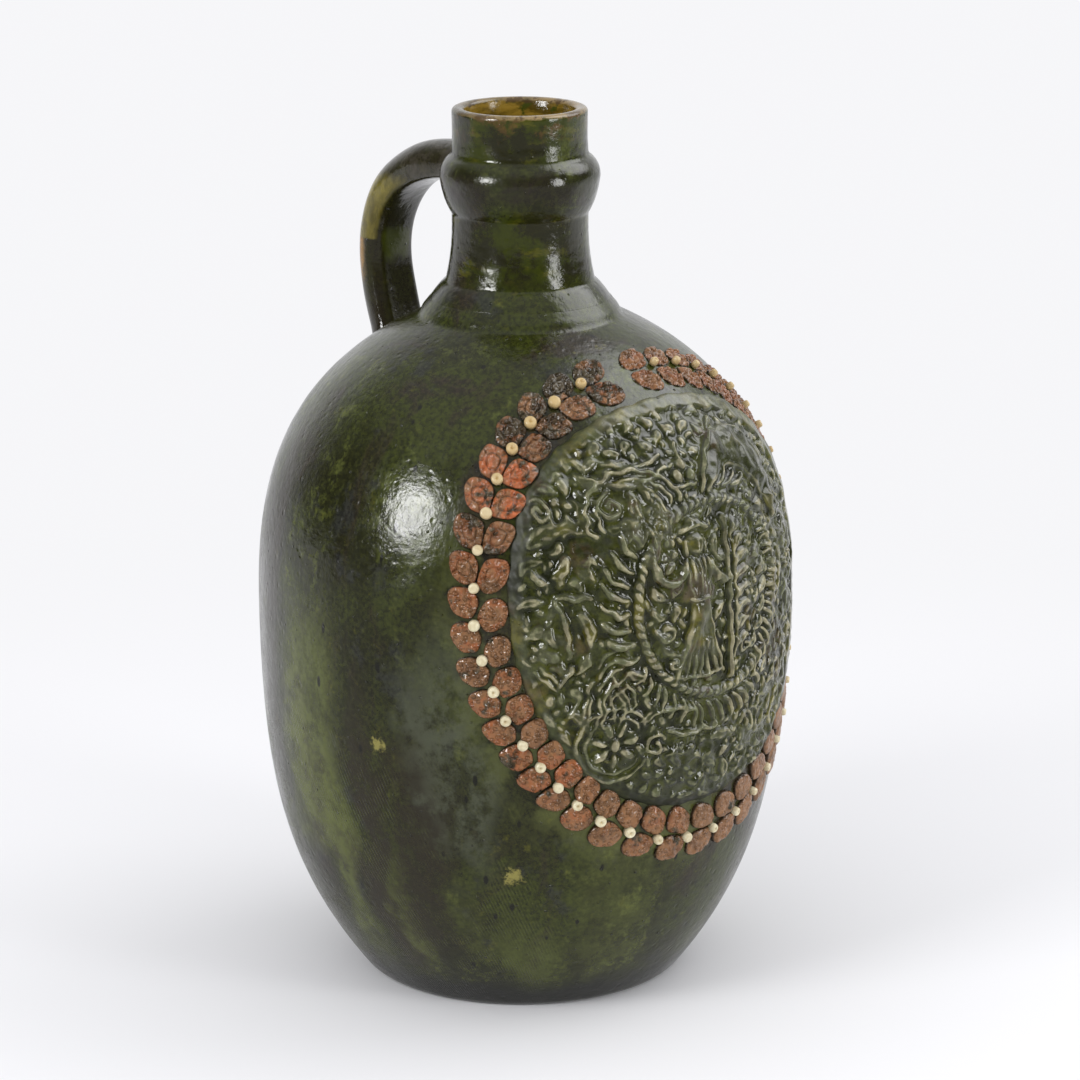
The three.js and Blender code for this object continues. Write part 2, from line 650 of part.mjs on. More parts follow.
// Two slanted petals that meet in a V, and the bead that is pressed on the V. The petals fill the way to the
// next pair, and their tips reach a share of the bead's radius under the bead.
function makeWreathPair(pair) {
  const from = wreathAngle(pair - 0.5);
  const to = wreathAngle(pair + 0.5);
  const centre = onWreath((from + to) / 2);
  const chart = localChart(centre);
  const ahead = onBelly(...onWreath(to).toArray(), 0).sub(onBelly(...onWreath(from).toArray(), 0));
  const spacing = ahead.length();
  const walkedAhead = chart(0, 1, 0).sub(chart(0, -1, 0)).normalize();
  const sideAhead = chart(1, 0, 0).sub(chart(-1, 0, 0)).normalize();
  const heading = Math.atan2(ahead.dot(walkedAhead), ahead.dot(sideAhead));
  const place = (t, r, lift) => chart(
    t * Math.cos(heading) + r * Math.sin(heading),
    t * Math.sin(heading) - r * Math.cos(heading),
    lift
  );
  const slant = radians(PETAL_SLANT_ANGLE);
  const halfWidth = 0.5 * PETAL_WIDTH;
  const halfReach = 0.5 * (spacing - PETAL_SIDE_GAP);
  const halfLength = Math.sqrt(halfReach ** 2 - (halfWidth * Math.sin(slant)) ** 2) / Math.cos(slant);
  const spread = halfLength * Math.sin(slant) + PETAL_TIP_UNDER_BEAD * BEAD_RADIUS;
  const petal = (hand) => {
    const offset = hand * spread;
    const ring = (share, lift) => Array.from({ length: PETAL_SIDES }, (_, i) => {
      const angle = (-2 * Math.PI * i) / PETAL_SIDES;
      const x = share * halfLength * Math.cos(angle);
      const y = share * halfWidth * Math.sin(angle);
      const turn = -hand * slant;
      const t = PETAL_LEAD + x * Math.cos(turn) - y * Math.sin(turn);
      return place(t, offset + x * Math.sin(turn) + y * Math.cos(turn), lift);
    });
    const low = LUTE_GAP;
    const rings = [ring(1, low), ring(0.7, low + 0.8 * PETAL_THICKNESS)];
    const tips = [place(PETAL_LEAD, offset, low), place(PETAL_LEAD, offset, low + PETAL_THICKNESS)];
    return skin(rings, tips);
  };
  const pieces = [petal(1), petal(-1)];
  if (pair < WREATH_PAIRS - 1) pieces.push(makeBead(place, spacing / 2));
  return joined(pieces);
}

// Bead whose foot runs back into the V, so that slip fills it
function makeBead(place, ahead) {
  const base = LUTE_GAP + RELIEF_STEP;
  const ring = (share, tail, lift) => Array.from({ length: BEAD_SIDES }, (_, i) => {
    const angle = (-2 * Math.PI * i) / BEAD_SIDES;
    const along = Math.cos(angle) * (Math.cos(angle) < 0 ? tail : 1);
    return place(ahead + BEAD_RADIUS * share * along, BEAD_RADIUS * share * Math.sin(angle), lift);
  });
  const rings = [ring(1, BEAD_FOOT_TAIL, base), ring(0.85, 1, base + 0.7 * BEAD_RISE)];
  return skin(rings, [place(ahead, 0, base), place(ahead, 0, base + BEAD_RISE)]);
}

function addWreath() {
  for (let pair = 0; pair < WREATH_PAIRS; pair++) {
    addPiece(`wreath_pair_${String(pair + 1).padStart(2, "0")}`, makeWreathPair(pair), terracotta);
  }
}

// Assembly

addPiece("belly", makeBelly(), glaze);
addPiece("neck", makeNeck(), glaze);
const bellySeat = seatCutter(bellyOutline(9), BELLY_SEGMENTS);
const neckSeat = seatCutter(neckOutside(), NECK_SEGMENTS);
addPiece("handle", makeHandle([bellySeat, neckSeat]), glaze);
addPiece("roundel", makeRoundel(), glaze);
addRelief();
addWreath();

export default bottle;
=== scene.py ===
"""Looks of the narrow-necked bottle: fine meshes, procedural materials, studio light and camera.

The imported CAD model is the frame. Where no heading says otherwise, named sizes are in millimetres
and named angles in degrees. Those that the part has too are the part's own, except that the bead's
radius is 0.1 mm larger here and the meshes are finer. Node values and heights in materials are in
metres. Every mesh stands in the part's frame: +Z up, the roundel faces -Y, the handle is at +Y.
"""

import math

import bpy
import numpy as np
from mathutils import Matrix, Vector


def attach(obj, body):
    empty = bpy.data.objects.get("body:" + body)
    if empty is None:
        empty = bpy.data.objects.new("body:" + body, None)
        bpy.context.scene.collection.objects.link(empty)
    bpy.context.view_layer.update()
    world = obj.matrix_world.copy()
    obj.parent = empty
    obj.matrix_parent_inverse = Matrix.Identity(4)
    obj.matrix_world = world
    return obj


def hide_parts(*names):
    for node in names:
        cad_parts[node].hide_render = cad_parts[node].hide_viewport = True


MM = 0.001

# Sizes of the part

LUTE_GAP = 0.3
FOOT_RADIUS = 57.1
FOOT_EDGE = 1.2
FOOT_FLARE_ANGLE = 50.8
FOOT_FLARE_LENGTH = 48.6
BELLY_RADIUS = 93.7
BELLY_WIDEST_HEIGHT = 135.3
BELLY_FULLNESS_BELOW = 59.3
BELLY_FULLNESS_ABOVE = 40.9
BELLY_WALL = 6.0
BASE_THICKNESS = 8.0
THROWING_RING_PITCH = 9.5
THROWING_RING_RISE = 0.022
FINE_RING_PITCH = 3.7
FINE_RING_RISE = 0.008
WALL_WANDER = 0.12
HALO_WIDTH = 12.5
HALO_ANGLE = 222.0
SHOULDER_RADIUS = 36.4
SHOULDER_HEIGHT = 237.0
SHOULDER_SLOPE_ANGLE = 25.5
SHOULDER_SLOPE_LENGTH = 55.3

# The turned step and band between the shoulder and the neck's seam
SHOULDER_STEPS = [[35.6, 237.5], [35.0, 238.5], [34.2, 240.2], [33.2, 241.3], [32.0, 242.9]]

NECK_SEAM_HEIGHT = 244.0
NECK_SEAM_RADIUS = 31.0
NECK_BORE_RADIUS = 19.3
NECK_FOOT_RING_HEIGHT = 5.0
NECK_WAIST_RADIUS = 23.85
NECK_WAIST_RISE = 26.0
COLLAR_RING_RADIUS = 28.1
COLLAR_RING_RISE = 42.0
COLLAR_RING_FALL = 13.0
COLLAR_RING_STEP = 8.3
LIP_RADIUS = 23.7
LIP_HEIGHT = 15.7
LIP_ROUND = 1.3
NECK_TUCK = 1.3

HANDLE_WIDTH = 20.0
HANDLE_THICKNESS = 15.0
HANDLE_REACH = 71.6
HANDLE_TOP_RISE = 0.8
HANDLE_TOP_RUN = 34.0
HANDLE_OUTER_DROP = 38.0
HANDLE_OUTER_RISE_LENGTH = 22.0
HANDLE_OUTER_FALL_LENGTH = 14.0
HANDLE_FOOT_HEIGHT = 206.0
HANDLE_FOOT_DEPTH = 16.3
HANDLE_FOOT_LEAN = 4.0
HANDLE_FOOT_LEAN_HEIGHT = 11.0
HANDLE_NECK_TAPER = 0.08
HANDLE_FOOT_FLARE = 0.14
HANDLE_OUTER_SWELL = 1.12
HANDLE_INNER_SWELL = 0.86
HANDLE_UNEVENNESS = 0.018
HANDLE_GROOVE_ANGLE = -30.0
HANDLE_GROOVE_WIDTH = 15.0
HANDLE_GROOVE_DEPTH = 0.085

ROUNDEL_HEIGHT = 152.7
ROUNDEL_RADIUS = 72.0
ROUNDEL_BORDER_WIDTH = 5.0
ROUNDEL_SPILL = 2.2
ROUNDEL_BASE = 0.05
GROUND_LUMPS = 0.40
ROUNDEL_FIELD_THICKNESS = 1.2
ROUNDEL_BORDER_THICKNESS = 2.6
ROPE_RING_RADIUS = 33.0
ROPE_RING_OFFSET = 2.6
ROPE_RING_WIDTH = 3.6
ROPE_RING_RELIEF = 1.7
ROPE_NOTCHES = 64
BORDER_PLAIN_ANGLE = 38.0
SPILL_ANGLE = 200.0
RELIEF_SCALE = 1.42
RELIEF_SCALE_SPREAD = 0.25
SPRAY_SPLAY = 48.0
FILL_RADIUS = 70.0
FINE_WEAR = 0.42
ROUND_WEAR = 0.9
BROAD_WEAR = 1.6

WREATH_RADIUS = 82.9
WREATH_START_ANGLE = 101.4
WREATH_PITCH_ANGLE = 8.43
WREATH_PAIRS = 42
WREATH_DRIFT_ANGLE = 8.5
WREATH_DRIFT_PAIRS = 16
WREATH_WAVER = 1.4
WREATH_WAVER_TURN = 20.0
PETAL_HALF_LENGTH = 6.9
PETAL_HALF_WIDTH = 4.95
PETAL_SPREAD = 4.70
PETAL_STAGGER = 3.1
PETAL_JOINT = 0.15
PETAL_THICKNESS = 1.9
PETAL_SLANT_ANGLE = 30.0
PETAL_LEAD = 0.8
PETAL_BASE = 0.02
BEAD_RADIUS = 2.0
BEAD_RISE = 2.7
BEAD_OUTWARD = 0.9
BEAD_BASE = 0.4

# Pairs of the wreath, counted from 0: where a look begins and is full, and which pairs have one
LATE_PAIRS = (26, 29)
STAMPED_PAIRS = (10.5, 6.5)
LUMPY_PAIRS = (24, 14)
GLAZED_PAIRS = (0, 1, 2, 3, 6)
BRIGHT_PAIRS = (2, 3, 4, 5)

# Scraper lines low on the belly: phase per radian round it, per metre up it, and waver
COMB_TURN = 420.0
COMB_RISE = 2000.0
COMB_WAVER = 26.0

# Where they begin and are full: heights in metres and azimuths in radians
COMB_HEIGHTS = (0.120, 0.070)
COMB_AZIMUTHS = (-0.45, -0.75)

# Glaze zones, and the zone of painted shade at the foot: heights in metres, or radii, where each begins and
# is full, then fades and ends
# The foot's zone is painted shade: near-black towards the floor
FOOT_SHADE_ZONE = (0.020, 0.010)
SHAFT_ZONE = (0.247, 0.254, 0.272, 0.279)
COLLAR_ZONE = (0.277, 0.282, 0.288, 0.293)
LIP_ZONE = (0.290, 0.295)
RUSTY_ZONE = (0.298, 0.307)
RIM_ZONE = (0.3082, 0.3092)
THROAT_ZONE = (0.23, 0.24)
THROAT_RADII = (0.0206, 0.0198)
HANDLE_TOP_ZONE = (0.270, 0.282)
HANDLE_BEND = (0.2545, 0.2555)

# Sizes of the meshes

BELLY_SEGMENTS = 360
NECK_SEGMENTS = 256
HANDLE_SIDES = 56
HANDLE_STEPS = 150
ROUNDEL_SEGMENTS = 900
ROUNDEL_RINGS = 170
RELIEF_CELL = 0.28
RIPPLE_WAVES = 18
PETAL_SIDES = 88
PETAL_RINGS = 22
BEAD_SIDES = 24
FLOOR_SIZE = 12000.0

# Camera, from the view solved in the photograph, and light: distances in m, lens and sensor in mm

CAMERA_AZIMUTH = -43.0
CAMERA_ELEVATION = 15.528
CAMERA_DISTANCE = 1.4101
CAMERA_AIM_HEIGHT = 0.150
CAMERA_LENS = 131.913
CAMERA_SHIFT = (0.01733, 0.01122)
CAMERA_ROLL = -0.2187
CAMERA_SENSOR = 36.0

STUDIO_WHITE = (0.925, 0.925, 0.945)
FLOOR_COLOUR = (0.85, 0.85, 0.865)
FLOOR_MIRRORED = 0.38
WORLD_LIGHT = 0.76
ROOM_LIGHT = 0.10
CEILING_LIGHT = 0.60
HIGH_WINDOW = (66.0, 43.0)
HIGH_WINDOW_LIGHT = 4.4

# Softboxes: azimuth and elevation in degrees, distance, width and height in m, power in W
SOFTBOX_AIM_HEIGHT = 0.17
SOFTBOXES = {
    "key_window": (-93.0, 21.0, 1.35, 0.38, 0.48, 12.0),
    "left_light": (-93.0, 30.0, 1.6, 0.60, 0.60, 9.2),
    "fill_window": (14.0, 12.0, 1.35, 0.32, 0.54, 5.4),
    "high_window": (*HIGH_WINDOW, 2.2, 1.6, 1.6, 10.5),
}


# Numbers and curves


def radians(degrees):
    return degrees * math.pi / 180


def smoothstep(low, high, value):
    t = np.clip((value - low) / (high - low), 0, 1)
    return t * t * (3 - 2 * t)


def bezier(points, count):
    """Points on a quadratic or cubic Bezier curve."""
    t = np.linspace(0, 1, count)[:, None]
    layer = [np.asarray(p, float)[None, :] for p in points]
    while len(layer) > 1:
        layer = [a * (1 - t) + b * t for a, b in zip(layer, layer[1:])]
    return layer[0]


def walk(points):
    """Distance walked along a line of points."""
    steps = np.linalg.norm(np.diff(points, axis=0), axis=1)
    return np.concatenate([[0], np.cumsum(steps)])


def resampled(points, step):
    """The same line with evenly spaced points."""
    reached = walk(points)
    count = max(int(round(reached[-1] / step)), 2) + 1
    even = np.linspace(0, reached[-1], count)
    return np.stack([np.interp(even, reached, points[:, i]) for i in range(points.shape[1])], axis=1)


def rounded(points, passes):
    """The line with its corners worn round. Its ends stay."""
    worn = points.copy()
    for _ in range(passes):
        worn[1:-1] = 0.25 * worn[:-2] + 0.5 * worn[1:-1] + 0.25 * worn[2:]
    return worn


def ripples(points, wavelength, seed):
    """Smooth unevenness of about -1 to 1: a seeded sum of waves in many directions."""
    rng = np.random.default_rng(seed)
    total = np.zeros(points.shape[:-1])
    for _ in range(RIPPLE_WAVES):
        direction = rng.normal(size=points.shape[-1])
        direction *= 2 * np.pi / (wavelength * rng.uniform(0.7, 1.5) * np.linalg.norm(direction))
        total += np.sin(points @ direction + rng.uniform(0, 2 * np.pi))
    return total / math.sqrt(RIPPLE_WAVES)


# Meshes


def new_piece(name, points, faces, material):
    """A smooth mesh piece from points in millimetres."""
    mesh = bpy.data.meshes.new(name)
    mesh.from_pydata((np.asarray(points) * MM).tolist(), [], faces)
    mesh.shade_smooth()
    mesh.materials.append(material)
    piece = bpy.data.objects.new(name, mesh)
    bpy.context.scene.collection.objects.link(piece)
    return piece


def ring_numbers(rows):
    return np.arange(rows.shape[0] * rows.shape[1]).reshape(rows.shape[:2])


def ring_quads(index):
    """Quads between rings of point numbers, each ring with the next."""
    following = np.roll(index, -1, axis=1)
    return np.stack([index[:-1], following[:-1], following[1:], index[1:]], axis=-1).reshape(-1, 4)


def fan(tip, ring, following):
    return np.stack([np.full(len(ring), tip), following, ring], axis=-1)


def skinned(name, rows, tips, material):
    """A closed skin over equal rings of points, with a tip at each end."""
    index = ring_numbers(rows)
    start = fan(index.size, index[0], np.roll(index[0], -1))
    end = fan(index.size + 1, np.roll(index[-1], -1), index[-1])
    points = np.concatenate([rows.reshape(-1, 3), np.asarray(tips)])
    faces = ring_quads(index).tolist() + start.tolist() + end.tolist()
    return new_piece(name, points, faces, material)


def paint(piece, name, values):
    """A value at each point of the mesh, which the material reads by name."""
    attribute = piece.data.attributes.new(name, "FLOAT", "POINT")
    attribute.data.foreach_set("value", np.asarray(values, np.float32).ravel())


def dress(piece, slot, *nodes):
    """The piece stands for these CAD nodes and rides on the one body."""
    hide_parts(*nodes)
    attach(piece, "root")


def turned(profile, segments):
    """Rings of points: a profile of (radius, height) turned about the axis."""
    angles = np.arange(segments) * 2 * np.pi / segments
    rows = np.zeros((len(profile), segments, 3))
    rows[:, :, 0] = profile[:, :1] * np.sin(angles)
    rows[:, :, 1] = -profile[:, :1] * np.cos(angles)
    rows[:, :, 2] = profile[:, 1:]
    return rows


# Outline of the bottle and the roundel's chart


def belly_outline():
    foot = np.array([FOOT_RADIUS, 0.0])
    flare = radians(FOOT_FLARE_ANGLE)
    slope = radians(SHOULDER_SLOPE_ANGLE)
    shoulder = np.array([SHOULDER_RADIUS, SHOULDER_HEIGHT])
    widest = np.array([BELLY_RADIUS, BELLY_WIDEST_HEIGHT])
    lower = bezier(
        [
            foot,
            foot + FOOT_FLARE_LENGTH * np.array([math.cos(flare), math.sin(flare)]),
            widest - [0, BELLY_FULLNESS_BELOW],
            widest,
        ],
        300,
    )
    upper = bezier(
        [
            widest,
            widest + [0, BELLY_FULLNESS_ABOVE],
            shoulder + SHOULDER_SLOPE_LENGTH * np.array([math.cos(slope), -math.sin(slope)]),
            shoulder,
        ],
        300,
    )
    return np.concatenate([lower, upper[1:]])


OUTLINE = belly_outline()
WALKED = walk(OUTLINE)
ALONG = np.gradient(OUTLINE, WALKED, axis=0)
ROUNDEL_WALK = float(np.interp(ROUNDEL_HEIGHT, OUTLINE[:, 1], WALKED))


def lifted(azimuth, walked, lift):
    """Points at an azimuth from -Y and a distance walked up the outline, lifted off the clay."""
    along = np.stack([np.interp(walked, WALKED, ALONG[:, i]) for i in range(2)])
    radius = np.interp(walked, WALKED, OUTLINE[:, 0]) + lift * along[1]
    height = np.interp(walked, WALKED, OUTLINE[:, 1]) - lift * along[0]
    return np.stack([radius * np.sin(azimuth), -radius * np.cos(azimuth), height], axis=-1)


def on_belly(u, v, lift):
    """The roundel's chart: u to the right and v up, as lengths on the clay."""
    walked = ROUNDEL_WALK + v
    return lifted(u / np.interp(walked, WALKED, OUTLINE[:, 0]), walked, lift)


def local_chart(u, v):
    """A small chart about one point of the roundel's chart."""
    walked = ROUNDEL_WALK + v
    azimuth = u / np.interp(walked, WALKED, OUTLINE[:, 0])

    def point(a, b, lift):
        reached = walked + b
        return lifted(azimuth + a / np.interp(reached, WALKED, OUTLINE[:, 0]), reached, lift)

    return point


def neck_outline():
    """From the seam up the flare, the shaft, the collar ring and the lip to the bore."""
    foot = NECK_SEAM_HEIGHT + NECK_FOOT_RING_HEIGHT
    waist = NECK_SEAM_HEIGHT + NECK_WAIST_RISE
    collar = NECK_SEAM_HEIGHT + COLLAR_RING_RISE
    collar_foot = collar - COLLAR_RING_FALL
    collar_top = collar + COLLAR_RING_STEP
    top = collar_top + LIP_HEIGHT
    lip_half = (LIP_RADIUS - NECK_BORE_RADIUS) / 2
    arc = np.linspace(0, math.pi, 24)
    lip_radii = LIP_RADIUS - lip_half + lip_half * np.cos(arc)
    lip = np.stack([lip_radii, top - LIP_ROUND + LIP_ROUND * np.sin(arc)], axis=1)
    tucked = [NECK_SEAM_RADIUS + 0.7, NECK_SEAM_HEIGHT - 0.9]
    flare = bezier([tucked, [28.6, foot - 1.4], [26.9, foot]], 12)
    slim, wide = NECK_WAIST_RADIUS, COLLAR_RING_RADIUS
    shaft = bezier([[26.1, foot + 0.6], [24.5, foot + 8], [slim, waist - 8], [slim, waist]], 24)
    swell = bezier([[slim, collar_foot], [26.9, collar_foot + 4.5], [wide, collar]], 16)
    fall = bezier([[wide, collar], [wide, collar + 4.2], [25.2, collar_top - 1.6]], 16)
    step = [[24.5, collar_top - 1.2], [LIP_RADIUS + 0.2, collar_top - 0.2]]
    band = [[LIP_RADIUS - 0.1, collar_top + 5]]
    return np.concatenate([flare, shaft, swell, fall, step, band, lip])


# Materials


class Value:
    """A number, a colour or a light that varies over a surface."""

    def __init__(self, graph, socket):
        self.graph = graph
        self.socket = socket

    def __add__(self, other):
        return self.graph.math("ADD", self, other)

    def __sub__(self, other):
        return self.graph.math("SUBTRACT", self, other)

    def __rsub__(self, other):
        return self.graph.math("SUBTRACT", other, self)

    def __mul__(self, other):
        return self.graph.math("MULTIPLY", self, other)

    def ramp(self, low, high, out_low=0.0, out_high=1.0):
        """A smooth step between two readings of the value. The first may be the higher one."""
        values = dict(enumerate((self, low, high, out_low, out_high)))
        return self.graph.node("ShaderNodeMapRange", values, interpolation_type="SMOOTHSTEP")

    def zone(self, start, full, fade, end):
        """1 between the second reading and the third, and 0 outside the first and the last."""
        return self.ramp(start, full) * self.ramp(end, fade)


class Graph:
    """A node tree that grows by short calls, which take values and plain numbers alike."""

    def __init__(self, owner, place):
        owner.use_nodes = True
        self.nodes = owner.node_tree.nodes
        self.links = owner.node_tree.links
        self.place = self.node("ShaderNodeTexCoord", {}, place)

    def feed(self, socket, value):
        if isinstance(value, Value):
            self.links.new(value.socket, socket)
        elif socket.type == "RGBA":
            socket.default_value = (*value, 1)
        else:
            socket.default_value = value

    def node(self, kind, values, output=0, **settings):
        """What a new node gives out, with a value for each of its inputs that is named."""
        node = self.nodes.new(kind)
        for name, setting in settings.items():
            setattr(node, name, setting)
        for place, value in values.items():
            self.feed(node.inputs[place], value)
        return Value(self, node.outputs[output])

    def math(self, operation, *values):
        return self.node("ShaderNodeMath", dict(enumerate(values)), operation=operation)

    def mix(self, share, first, second):
        """The first colour where the share is 0, and the second where it is 1."""
        return self.node("ShaderNodeMix", {"Factor": share, 6: first, 7: second}, 2, data_type="RGBA")

    def mix_light(self, share, first, second):
        return self.node("ShaderNodeMixShader", {"Fac": share, 1: first, 2: second})

    def stretched(self, stretch):
        """Places stretched along each axis, so that a texture draws out or flattens."""
        return self.node("ShaderNodeMapping", {"Vector": self.place, "Scale": stretch})

    def noise(self, scale, detail, roughness, place=None, distortion=0.0):
        values = {
            "Vector": place or self.place,
            "Scale": scale,
            "Detail": detail,
            "Roughness": roughness,
            "Distortion": distortion,
        }
        return self.node("ShaderNodeTexNoise", values, "Fac")

    def cells(self, scale, place=None):
        values = {"Vector": place or self.place, "Scale": scale}
        return self.node("ShaderNodeTexVoronoi", values, "Distance")

    def axis(self, letter):
        return self.node("ShaderNodeSeparateXYZ", {0: self.place}, letter)

    def toward(self, way):
        """How far each place lies along a level direction."""
        return self.axis("X") * way.x + self.axis("Y") * way.y

    def azimuth(self):
        """The angle round the bottle from -Y, in radians."""
        return self.math("ARCTAN2", self.axis("X"), self.axis("Y") * -1.0)

    def painted(self, name):
        return self.node("ShaderNodeAttribute", {}, "Fac", attribute_name=name)

    def bump(self, height, distance, strength=1.0, under=None):
        values = {"Height": height, "Distance": distance, "Strength": strength}
        if under is not None:
            values["Normal"] = under
        return self.node("ShaderNodeBump", values)

    def ray(self, kind):
        return self.node("ShaderNodeLightPath", {}, f"Is {kind} Ray")

    def direct_ray(self):
        """1 for a ray from the camera, straight or through glass, which sees the white studio."""
        return self.math("MAXIMUM", self.ray("Camera"), self.ray("Transmission"))


class Shader(Graph):
    """A material's node tree, with the colour that its coats have reached."""

    def __init__(self, name, colour):
        self.material = bpy.data.materials.new(name)
        super().__init__(self.material, "Object")
        self.surface = self.nodes["Principled BSDF"]
        self.colour = colour

    def coat(self, colour, share):
        """Lays a colour over the others by a share."""
        self.colour = self.mix(share, self.colour, colour)

    def shade(self, strength):
        """Makes the colour darker or lighter."""
        values = {0: self.colour, "Scale": strength}
        self.colour = self.node("ShaderNodeVectorMath", values, operation="SCALE")

    def finish(self, roughness, normal=None):
        self.feed(self.surface.inputs["Base Color"], self.colour)
        self.feed(self.surface.inputs["Roughness"], roughness)
        if normal is not None:
            self.feed(self.surface.inputs["Normal"], normal)
        return self.material


DARK_GREEN = (0.015, 0.016, 0.003)
DEEP_GREEN = (0.026, 0.032, 0.003)
LIGHT_GREEN = (0.098, 0.114, 0.024)
SLATE = (0.021, 0.022, 0.020)
BROWN = (0.021, 0.016, 0.008)
OLIVE = (0.085, 0.080, 0.006)
YELLOW = (0.260, 0.230, 0.060)
OCHRE = (0.300, 0.190, 0.025)
TAN = (0.280, 0.200, 0.095)
# Near-black: for dark dashes in the glaze, and for painted shade at the foot
DARK_MARKS_AND_FOOT_SHADE = (0.006, 0.006, 0.004)

# Runs of thin, light glaze on the belly: azimuth, width in degrees, from and to in mm, and share
LIGHT_RUNS = (
    (-95, 14, 62, 138, 0.86),
    (-89, 7, 20, 90, 0.74),
    (-72, 5, 14, 60, 0.85),
    (-56, 7, 22, 52, 0.45),
    (-40, 12, 10, 40, 0.55),
    (-20, 12, 8, 60, 0.40),
    (-101, 7, 70, 120, 0.45),
    (150, 16, 20, 150, 0.60),
    (70, 12, 30, 120, 0.55),
    (-150, 12, 60, 190, 0.50),
    (112, 8, 16, 90, 0.50),
)

# Runs of thick, dark glaze, and a painted reflection: the pale grey-green veil left of the wreath
DARK_RUNS = ((-77, 5, 6, 125), (-66, 9, 24, 112), (-118, 9, 0, 200), (30, 12, 0, 90))
REFLECTION_VEIL_RUN = (-57, 13, 66, 140)

# Yellow spots on the belly: centre and radius in mm
YELLOW_SPOTS = (
    ((-61, -61, 59), 4.2),
    ((-89, -24, 104), 3.4),
    ((-50, -72, 34), 2.6),
    ((-41, -70, 196), 2.6),
)


def run_mask(shader, azimuth, width, low, high):
    """A run of glaze down the side: azimuth and width in degrees, between two heights in mm."""
    warp = shader.noise(22, 3, 0.6) - 0.5
    off = shader.azimuth() - radians(azimuth) + warp * 0.5
    across = shader.math("ABSOLUTE", off).ramp(radians(width), radians(width) * 0.35)
    height = shader.axis("Z") + warp * 0.06
    rise = height.ramp((low - 12) * MM, (low + 12) * MM)
    fall = height.ramp((high + 18) * MM, (high - 18) * MM)
    return across * (rise * fall)


def spot_mask(shader, centre, radius):
    """A ragged spot about a place in mm."""
    values = {0: shader.place, 1: [c * MM for c in centre]}
    distance = shader.node("ShaderNodeVectorMath", values, "Value", operation="DISTANCE")
    ragged = (shader.noise(300, 4, 0.8) - 0.5) * (radius * MM * 3.4)
    return (distance + ragged).ramp(radius * MM, radius * 0.3 * MM)


def glazed_shader(name):
    """A material with clouds and runs of dark green, brown and slate, as lead glaze pools and thins."""
    shader = Shader(name, DARK_GREEN)
    runs = shader.noise(1.0, 6, 0.65, shader.stretched((30, 30, 9)), 0.5)
    flecks = shader.noise(145, 4, 0.7)
    shader.coat(DEEP_GREEN, shader.noise(15, 6, 0.68).ramp(0.42, 0.58))
    shader.coat(BROWN, runs.ramp(0.52, 0.64))
    shader.coat(SLATE, shader.noise(47, 5, 0.7).ramp(0.56, 0.66, 0.0, 0.7))
    shader.coat(LIGHT_GREEN, runs.ramp(0.50, 0.38) * flecks.ramp(0.46, 0.66) * 0.5)
    shader.coat(OLIVE, flecks.ramp(0.60, 0.74, 0.0, 0.45))
    shader.shade(shader.noise(640, 2, 0.6).ramp(0.30, 0.70, 0.62, 1.45))
    return shader


def glaze_bump(shader, pit_depth=0.00022):
    """Swells, orange-peel, scattered pinholes and small warts of a thick lead glaze."""
    swells = shader.bump(shader.noise(85, 2, 0.5), 0.00014)
    peel = shader.bump(shader.noise(300, 4, 0.6), 0.00022, 1.0, swells)
    pits = shader.bump(shader.cells(170).ramp(0.06, 0.22), pit_depth, 0.4, peel)
    return shader.bump(shader.cells(190).ramp(0.11, 0.02), 0.0006, 1.0, pits)


def combing(shader):
    """Slanting scraper lines low on the wall, from 0 to 1."""
    z = shader.axis("Z")
    azimuth = shader.azimuth()
    slant = azimuth * COMB_TURN + z * COMB_RISE + shader.noise(16, 3, 0.5) * COMB_WAVER
    lines = shader.math("SINE", slant).ramp(-0.2, 0.9)
    low_on_left = z.ramp(*COMB_HEIGHTS) * azimuth.ramp(*COMB_AZIMUTHS)
    return lines * (low_on_left * shader.noise(34, 6, 0.8).ramp(0.46, 0.64))


def make_belly_glaze():
    shader = glazed_shader("green_glaze_belly")
    mottle = shader.noise(88, 6, 0.75).ramp(0.36, 0.62, 0.25, 1.0)
    for *run, share in LIGHT_RUNS:
        shader.coat(LIGHT_GREEN, run_mask(shader, *run) * share * mottle)
    # Painted reflection: a pale grey-green veil on the mid belly, under the highlight
    painted_veil = run_mask(shader, *REFLECTION_VEIL_RUN) * mottle.ramp(0.2, 1.0, 0.05, 0.85)
    shader.coat((0.068, 0.075, 0.047), painted_veil)
    smudge = shader.noise(110, 6, 0.75).ramp(0.34, 0.56, 0.20, 0.85)
    for run in DARK_RUNS:
        shader.coat(BROWN, run_mask(shader, *run) * smudge)
    halo = shader.painted("halo") * shader.noise(70, 4, 0.65).ramp(0.40, 0.60)
    shader.coat((0.135, 0.150, 0.042), halo * 0.75)
    combed = combing(shader)
    shader.coat(LIGHT_GREEN, combed * 0.38)
    # Painted shade: near-black towards the bottom of the foot, standing for the shadow under it
    foot = shader.axis("Z") + shader.noise(60, 4, 0.7) * 0.008
    shader.coat(DARK_MARKS_AND_FOOT_SHADE, foot.ramp(*FOOT_SHADE_ZONE, 0.0, 0.95))
    dashes = shader.cells(1.0, shader.stretched((120, 120, 50)))
    shader.coat(DARK_MARKS_AND_FOOT_SHADE, dashes.ramp(0.13, 0.07, 0.0, 0.9))
    for centre, radius in YELLOW_SPOTS:
        shader.coat(YELLOW, spot_mask(shader, centre, radius) * 0.9)
    rough = shader.noise(60, 6, 0.75).ramp(0.36, 0.64, 0.13, 0.26)
    return shader.finish(rough, shader.bump(combed, 0.00022, 0.8, glaze_bump(shader)))


